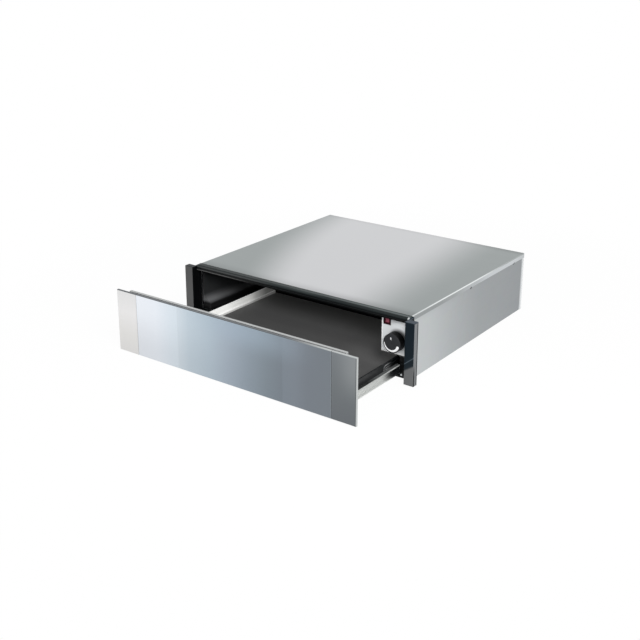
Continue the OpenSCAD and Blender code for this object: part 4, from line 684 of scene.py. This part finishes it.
finishes = {
    "top_cover": coverFinish(), "walls": wallFinish(),
    "slides": plainMetal("brightZinc", "b9bfc1", 0.26, (60.0, 8.0, 300.0), 0.06, "eef1f1"),
    "screws": plainMetal("screwZinc", "c6cacc", 0.25, (300.0, 300.0, 300.0), 0.08),
    "fan": plainMetal("fanAluminium", "c4c6c8", 0.35, (120.0, 120.0, 120.0), 0.06),
    "thermostat": plainMetal("thermostatCan", "aeb2b4", 0.35, (90.0, 90.0, 90.0), 0.06),
    "shaft": plainMetal("turnedShaft", "c2c6c8", 0.22, (40.0, 500.0, 40.0), 0.08),
    "brass": plainMetal("pressedBrass", "c8b070", 0.3, (80.0, 10.0, 300.0), 0.08, "ecdca8"),
    "balls": plainMetal("polishedBalls", "d6d8da", 0.08, (200.0, 200.0, 200.0), 0.03),
    # the trims and the members glow with painted light, brighter than the lamps make them in the cavity
    "trims": plainMetal("brushedTrim", "e8e8e4", 0.3, (60.0, 5.0, 400.0), 0.04, dust=0.0, metal=0.0,
                        paint=trimPaint, glow=0.34),
    "members": plainMetal("memberZinc", "d0d2d0", 0.4, (60.0, 8.0, 300.0), 0.04, "e8eae8", metal=0.15,
                          paint=memberPaint, glow=0.2),
    "carrier": plainMetal("carrierZinc", "b4b9ba", 0.36, (9.0, 60.0, 260.0), 0.04),
    "rail": plainMetal("satinRail", "b0b2b2", 0.34, (8.0, 260.0, 260.0), 0.03, "d0d2d2", metal=0.6),
    "motor": plainMetal("motorEnamel", "3a3b3e", 0.4, (60.0, 60.0, 60.0), 0.1, "6a6c70", 0.1, 0.6),
    "glass": glassFinish(), "ends": endPanelFinish(), "mat": matFinish(),
    "posts": enamelFinish("postEnamel", postPaint, 0.06, 0.1, "3c4248"),
    "trim": enamelFinish("trimEnamel", bandPaint, 0.08, 0.1, "3a3e3e", 0.25),
    "tray": enamelFinish("trayEnamel", trayPaint, coat=0.16),
    "lining": enamelFinish("liningEnamel", liningPaint, coat=0.12, edge="2a2c2e", edgeShare=0.15),
    "box": plasticFinish("boxPlastic", "17181a", 0.5, 0.2, "3a3d40", 0.4),
    "glandPlastic": plasticFinish("glandPlastic", "1c1d1f", 0.5, 0.25, "44474a", 0.4),
    "cutout": plasticFinish("phenolicCase", "7a6656", 0.55, 0.3),
    "plate": plateFinish(),
    "knob": plasticFinish("knobBlack", "1c1d1f", 0.35, 0.05, "202123", 0.5, 500.0, 0.05, knobPaint),
    "marking": plasticFinish("paleInlay", "f0f1f2", 0.5, 0.2),
    "bezel": plasticFinish("maroonBezel", "2c0d15", 0.3, 0.1, "4a1c26", 0.5, 400.0, 0.1),
    "rocker": plasticFinish("redRocker", "a8485a", 0.3, 0.15, "6a2c38", 0.6, 400.0, 0.15, rockerPaint),
    "buffer": plasticFinish("bufferRubber", "1a1a1b", 0.8, 0.1, "303031", 0.3, 300.0),
    "fibre": fluffFinish(), "heater": heaterFinish(),
}
print("stage: finishes ready")


easing = {  # node: bevel in mm, finish
    "top_cover": (0.35, "top_cover"), "side_wall_left": (0.3, "walls"), "side_wall_right": (0.3, "walls"),
    "rear_panel": (0.3, "walls"), "base_pan": (0.3, "walls"), "front_post_left": (0.9, "posts"),
    "front_post_right": (0.9, "posts"), "top_trim": (0.5, "trim"), "front_sill": (0.35, "tray"),
    "liner_left": (0.3, "lining"), "liner_right": (0.3, "lining"), "cavity_ceiling": (0.3, "lining"),
    "air_baffle": (0.0, "lining"), "insulation_mat": (0.8, "fibre"), "tray": (0.4, "tray"),
    "rubber_mat": (0.6, "mat"), "side_trim_left": (0.3, "trims"), "side_trim_right": (0.3, "trims"),
    "slide_member_left": (0.25, "members"), "slide_member_right": (0.25, "members"),
    "slide_channel_left": (0.25, "slides"), "slide_channel_right": (0.25, "slides"),
    "ball_cage_left": (0.0, "brass"), "ball_cage_right": (0.0, "brass"), "balls_left": (0.0, "balls"),
    "balls_right": (0.0, "balls"), "glass_panel": (0.5, "glass"), "end_panel_left": (0.5, "ends"),
    "end_panel_right": (0.5, "ends"), "front_carrier": (0.3, "carrier"), "grip_rail": (0.4, "rail"),
    "control_plate": (0.5, "plate"), "control_box": (0.35, "box"), "switch_frame": (0.5, "bezel"),
    "rocker": (0.4, "rocker"), "thermostat_body": (0.5, "thermostat"),
    "thermostat_shaft": (0.3, "shaft"), "fan_motor": (0.8, "motor"),
    "motor_bracket": (0.4, "slides"), "fan_wheel": (0.0, "fan"), "thermal_cutout": (0.3, "cutout"),
    "terminal_block": (0.4, "cutout"), "cable_gland": (0.3, "glandPlastic"),
    "gland_nut": (0.3, "glandPlastic"), "heater_element": (0.0, "heater"), "heater_clips": (0.3, "slides"),
    "buffers": (0.4, "buffer"),
    "cover_screws": (0.0, "screws"), "post_screws": (0.0, "screws"), "sill_screws": (0.0, "screws"),
    "baffle_screws": (0.0, "screws"), "bracket_screws": (0.0, "screws"), "plate_screws": (0.0, "screws"),
    "slide_rivets": (0.0, "slides"), "member_screws": (0.0, "screws"), "rail_rivets": (0.0, "screws"),
    "front_screws": (0.0, "screws"),
}
cuts = {"corner": 30.0, "flat": 0.6, "rows": 2, "weld": 2e-6, "smoothTo": 34.0, "weight": 80}


def eased(node, width):
    # a copy of the node's skin, welded, with its corners sharper than the corner angle cut by a small round
    shape = bmesh.new()
    shape.from_mesh(nodes[node].data)
    layer = shape.faces.layers.float.new("bevelled")
    bmesh.ops.remove_doubles(shape, verts=shape.verts, dist=cuts["weld"])
    bmesh.ops.dissolve_limit(shape, angle_limit=math.radians(cuts["flat"]), verts=shape.verts,
                             edges=shape.edges)
    cut = []
    if width > 0:
        corners = [e for e in shape.edges if len(e.link_faces) == 2
                   and abs(e.calc_face_angle(0.0)) > math.radians(cuts["corner"])]
        made = bmesh.ops.bevel(shape, geom=corners, offset=width / 1000, offset_type="OFFSET",
                               segments=cuts["rows"], profile=0.5, affect="EDGES", clamp_overlap=True)
        cut = made["faces"]
    for face in shape.faces:
        face.smooth = True
        face[layer] = 0.0
    for face in cut:
        face[layer] = 1.0
    bmesh.ops.triangulate(shape, faces=[f for f in shape.faces if len(f.verts) > 4])
    mesh = bpy.data.meshes.new(node + "Eased")
    shape.to_mesh(mesh)
    shape.free()
    mesh.set_sharp_from_angle(angle=math.radians(cuts["smoothTo"]))
    piece = bpy.data.objects.new(node + "Eased", mesh)
    bpy.context.scene.collection.objects.link(piece)
    weigh = piece.modifiers.new("weigh", "WEIGHTED_NORMAL")
    weigh.keep_sharp, weigh.weight = True, cuts["weight"]
    baked = bpy.data.meshes.new_from_object(piece.evaluated_get(bpy.context.evaluated_depsgraph_get()))
    piece.modifiers.clear()
    piece.data = baked
    bpy.data.meshes.remove(mesh)
    return piece


def span(node):
    # the lowest and the highest corner of a node's box, in millimetres
    mesh = nodes[node].data
    points = np.empty(len(mesh.vertices) * 3)
    mesh.vertices.foreach_get("co", points)
    points = points.reshape(-1, 3) * 1000.0
    return points.min(axis=0), points.max(axis=0)


knobLow, knobHigh = span("knob")
knobMiddle = (knobLow + knobHigh) / 2.0
knobShape = {"turns": 192, "place": (knobMiddle[0], knobHigh[1], knobMiddle[2]),
             "length": knobHigh[1] - knobLow[1], "bore": 3.06, "boreDepth": 9.8, "boreNick": 0.2,
             "boreMouth": 0.3, "boreEnd": 0.4, "grip": 19.75, "gripSpan": (2.5, 15.9),
             "gripRows": 28, "flutes": 40, "fluteDepth": 0.32, "fluteSpan": (2.6, 15.9), "fluteRun": 1.2,
             "skirt": [(3.3, 0.0), (19.4, 0.0), (19.85, 0.15), (20.0, 0.6), (20.0, 1.8), (19.9, 2.2)],
             "rim": 18.9, "rimRound": (0.85, 0.9), "rimRows": 8, "face": (16.0, 11.0, 8.0),
             "dishRadius": 6.6, "dishDepth": 0.5, "dishRows": 10, "dishEndShare": 0.08}
markShape = {"outer": 17.5, "thin": 1.4, "thick": 5.8, "start": 181.0, "end": 349.0, "endShare": 0.004,
             "height": 0.4, "sink": 0.12, "fullAt": 0.6, "leastShare": 0.2, "steps": 96, "round": 24,
             "indexAngle": 102.0, "indexFrom": 7.7, "indexTo": 12.7, "indexWidth": 1.9, "indexSteps": 24}


def shell(rings, first, last):
    # a closed skin from rings of points (rings x points x 3): quads between neighbours, a fan at each end
    count, around = rings.shape[:2]
    points = np.concatenate([rings.reshape(-1, 3), [first], [last]]) / 1000.0
    index = np.arange(count * around).reshape(count, around)
    beside = np.roll(index, -1, axis=1)
    quads = np.stack([index[:-1], beside[:-1], beside[1:], index[1:]], axis=-1).reshape(-1, 4)
    start = np.stack([np.full(around, count * around), beside[0], index[0]], axis=-1)
    close = np.stack([np.full(around, count * around + 1), index[-1], beside[-1]], axis=-1)
    return points, quads.tolist() + start.tolist() + close.tolist()


def solid(name, parts):
    # one object from one or more closed skins, smooth up to the smoothTo angle
    points, faces, past = [], [], 0
    for skinPoints, skinFaces in parts:
        points.append(skinPoints)
        faces += [[i + past for i in face] for face in skinFaces]
        past += len(skinPoints)
    mesh = bpy.data.meshes.new(name)
    mesh.from_pydata(np.concatenate(points).tolist(), [], faces)
    mesh.polygons.foreach_set("use_smooth", np.ones(len(faces), dtype=bool))
    mesh.set_sharp_from_angle(angle=math.radians(cuts["smoothTo"]))
    mesh.attributes.new("bevelled", "FLOAT", "FACE")
    made = bpy.data.objects.new(name, mesh)
    bpy.context.scene.collection.objects.link(made)
    return made


def fluted(radius, along, angle):
    # the radius less a groove: (half of 1 minus the cosine of flutes times the angle) squared, times its
    # depth, faded out towards both ends of the flutes
    k = knobShape
    groove = (0.5 - 0.5 * np.cos(k["flutes"] * angle)) ** 2
    first, last = k["fluteSpan"]
    rise, fall = [np.clip(run / k["fluteRun"], 0.0, 1.0) for run in (along - first, last - along)]
    return radius - k["fluteDepth"] * groove * rise * fall


def makeKnob():
    # a profile turned about the knob's own axis: bore, skirt, fluted grip, rounded rim and a shallow dish,
    # whose depth is (1 minus the squared share of its radius) squared, times its full depth
    k = knobShape
    dish = np.linspace(1.0, k["dishEndShare"], k["dishRows"])
    bend = np.linspace(0.0, math.pi / 2, k["rimRows"])
    grip = np.linspace(*k["gripSpan"], k["gripRows"])
    deep, nick = k["boreDepth"], k["boreNick"]
    bore = [(k["boreEnd"], deep), (k["bore"] - nick, deep), (k["bore"], deep - nick),
            (k["bore"], k["boreMouth"])]
    foot = np.array(bore + k["skirt"])
    wide, high = k["rimRound"]
    radii = np.concatenate([foot[:, 0], np.full(len(grip), k["grip"]), k["rim"] + wide * np.cos(bend),
                            k["face"], k["dishRadius"] * dish])
    along = np.concatenate([foot[:, 1], grip, k["length"] - high + high * np.sin(bend),
                            np.full(len(k["face"]), k["length"]),
                            k["length"] - k["dishDepth"] * (1.0 - dish ** 2) ** 2])
    angle = np.linspace(0.0, 2.0 * math.pi, k["turns"], endpoint=False)[None, :]
    reach = fluted(radii[:, None], along[:, None], angle)
    x0, y0, z0 = k["place"]
    rings = np.stack([x0 + reach * np.cos(angle), np.broadcast_to(y0 - along[:, None], reach.shape),
                      z0 + reach * np.sin(angle)], axis=-1)
    bottom, middle = (x0, y0 - k["boreDepth"], z0), (x0, y0 - k["length"] + k["dishDepth"], z0)
    return solid("turnedKnob", [shell(rings, bottom, middle)])


def strip(middle, across, half):
    # a raised strip on the knob's face: along a line of points, a half ellipse as wide as the strip, closed
    # at both ends; across it the height goes with the sine and the place with the cosine of one turn
    m = markShape
    x0, y0, z0 = knobShape["place"]
    turn = np.linspace(0.0, 2.0 * math.pi, m["round"], endpoint=False)[None, :]
    offset = -half[:, None] * np.cos(turn)
    full = np.clip(half[:, None] / m["fullAt"], m["leastShare"], 1.0)
    rise = np.clip(np.sin(turn), 0.0, 1.0) * m["height"] * full
    face = y0 - knobShape["length"]
    base = face + m["sink"] * (np.sin(turn) < 0)
    rings = np.stack([x0 + middle[:, :1] + offset * across[:, :1], base - rise,
                      z0 + middle[:, 1:] + offset * across[:, 1:]], axis=-1)
    ends = [(x0 + middle[i, 0], face, z0 + middle[i, 1]) for i in (0, -1)]
    return shell(rings, *ends)


def makeMarking():
    # a wedge that widens along an arc by an even share of the angle, with round ends, and a short radial bar,
    # whose ends close with the eighth power of the share of its half length
    m = markShape
    share = np.linspace(m["endShare"], 1.0 - m["endShare"], m["steps"])
    turn = np.radians(m["start"] + (m["end"] - m["start"]) * share)
    wide = m["thin"] + (m["thick"] - m["thin"]) * share
    out = np.stack([np.cos(turn), np.sin(turn)], axis=-1)
    length = np.radians(m["end"] - m["start"]) * m["outer"]
    tail = np.clip(share * length / (m["thin"] / 2.0), 0.0, 1.0)
    head = np.clip((1.0 - share) * length / (m["thick"] / 2.0), 0.0, 1.0)
    half = wide / 2.0 * np.sqrt(1.0 - (1.0 - tail) ** 2) * np.sqrt(1.0 - (1.0 - head) ** 2)
    wedge = strip(out * (m["outer"] - wide / 2.0)[:, None], out, half)
    line = np.linspace(m["indexFrom"], m["indexTo"], m["indexSteps"])
    a = math.radians(m["indexAngle"])
    run = (line - m["indexFrom"]) / (m["indexTo"] - m["indexFrom"]) * 2.0 - 1.0
    along = np.array([[math.cos(a), math.sin(a)]]) * line[:, None]
    side = np.broadcast_to([[math.sin(a), -math.cos(a)]], along.shape)
    bar = strip(along, side, m["indexWidth"] / 2.0 * np.sqrt(np.clip(1.0 - run ** 8, 0.01, 1.0)))
    return solid("raisedMarking", [wedge, bar])


drawn = {"knob": (makeKnob, "knob"), "knob_marking": (makeMarking, "marking")}
bodyOf = {n: body for body, members in frame["record"]["behaviour"]["bodies"].items() for n in members}
finishOf = {}
for node, (shape, finish) in {**easing, **drawn}.items():
    piece = shape() if callable(shape) else eased(node, shape)
    finishOf[node] = finishes[finish]
    piece.data.materials.clear()
    piece.data.materials.append(finishes[finish])
    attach(piece, bodyOf[node])
    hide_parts(node)
print("stage: pieces ready,", len(finishOf))

for node, thing in nodes.items():
    if not thing.data.materials:
        thing.data.materials.append(None)
    for i in range(len(thing.data.materials)):
        thing.data.materials[i] = finishOf[node]
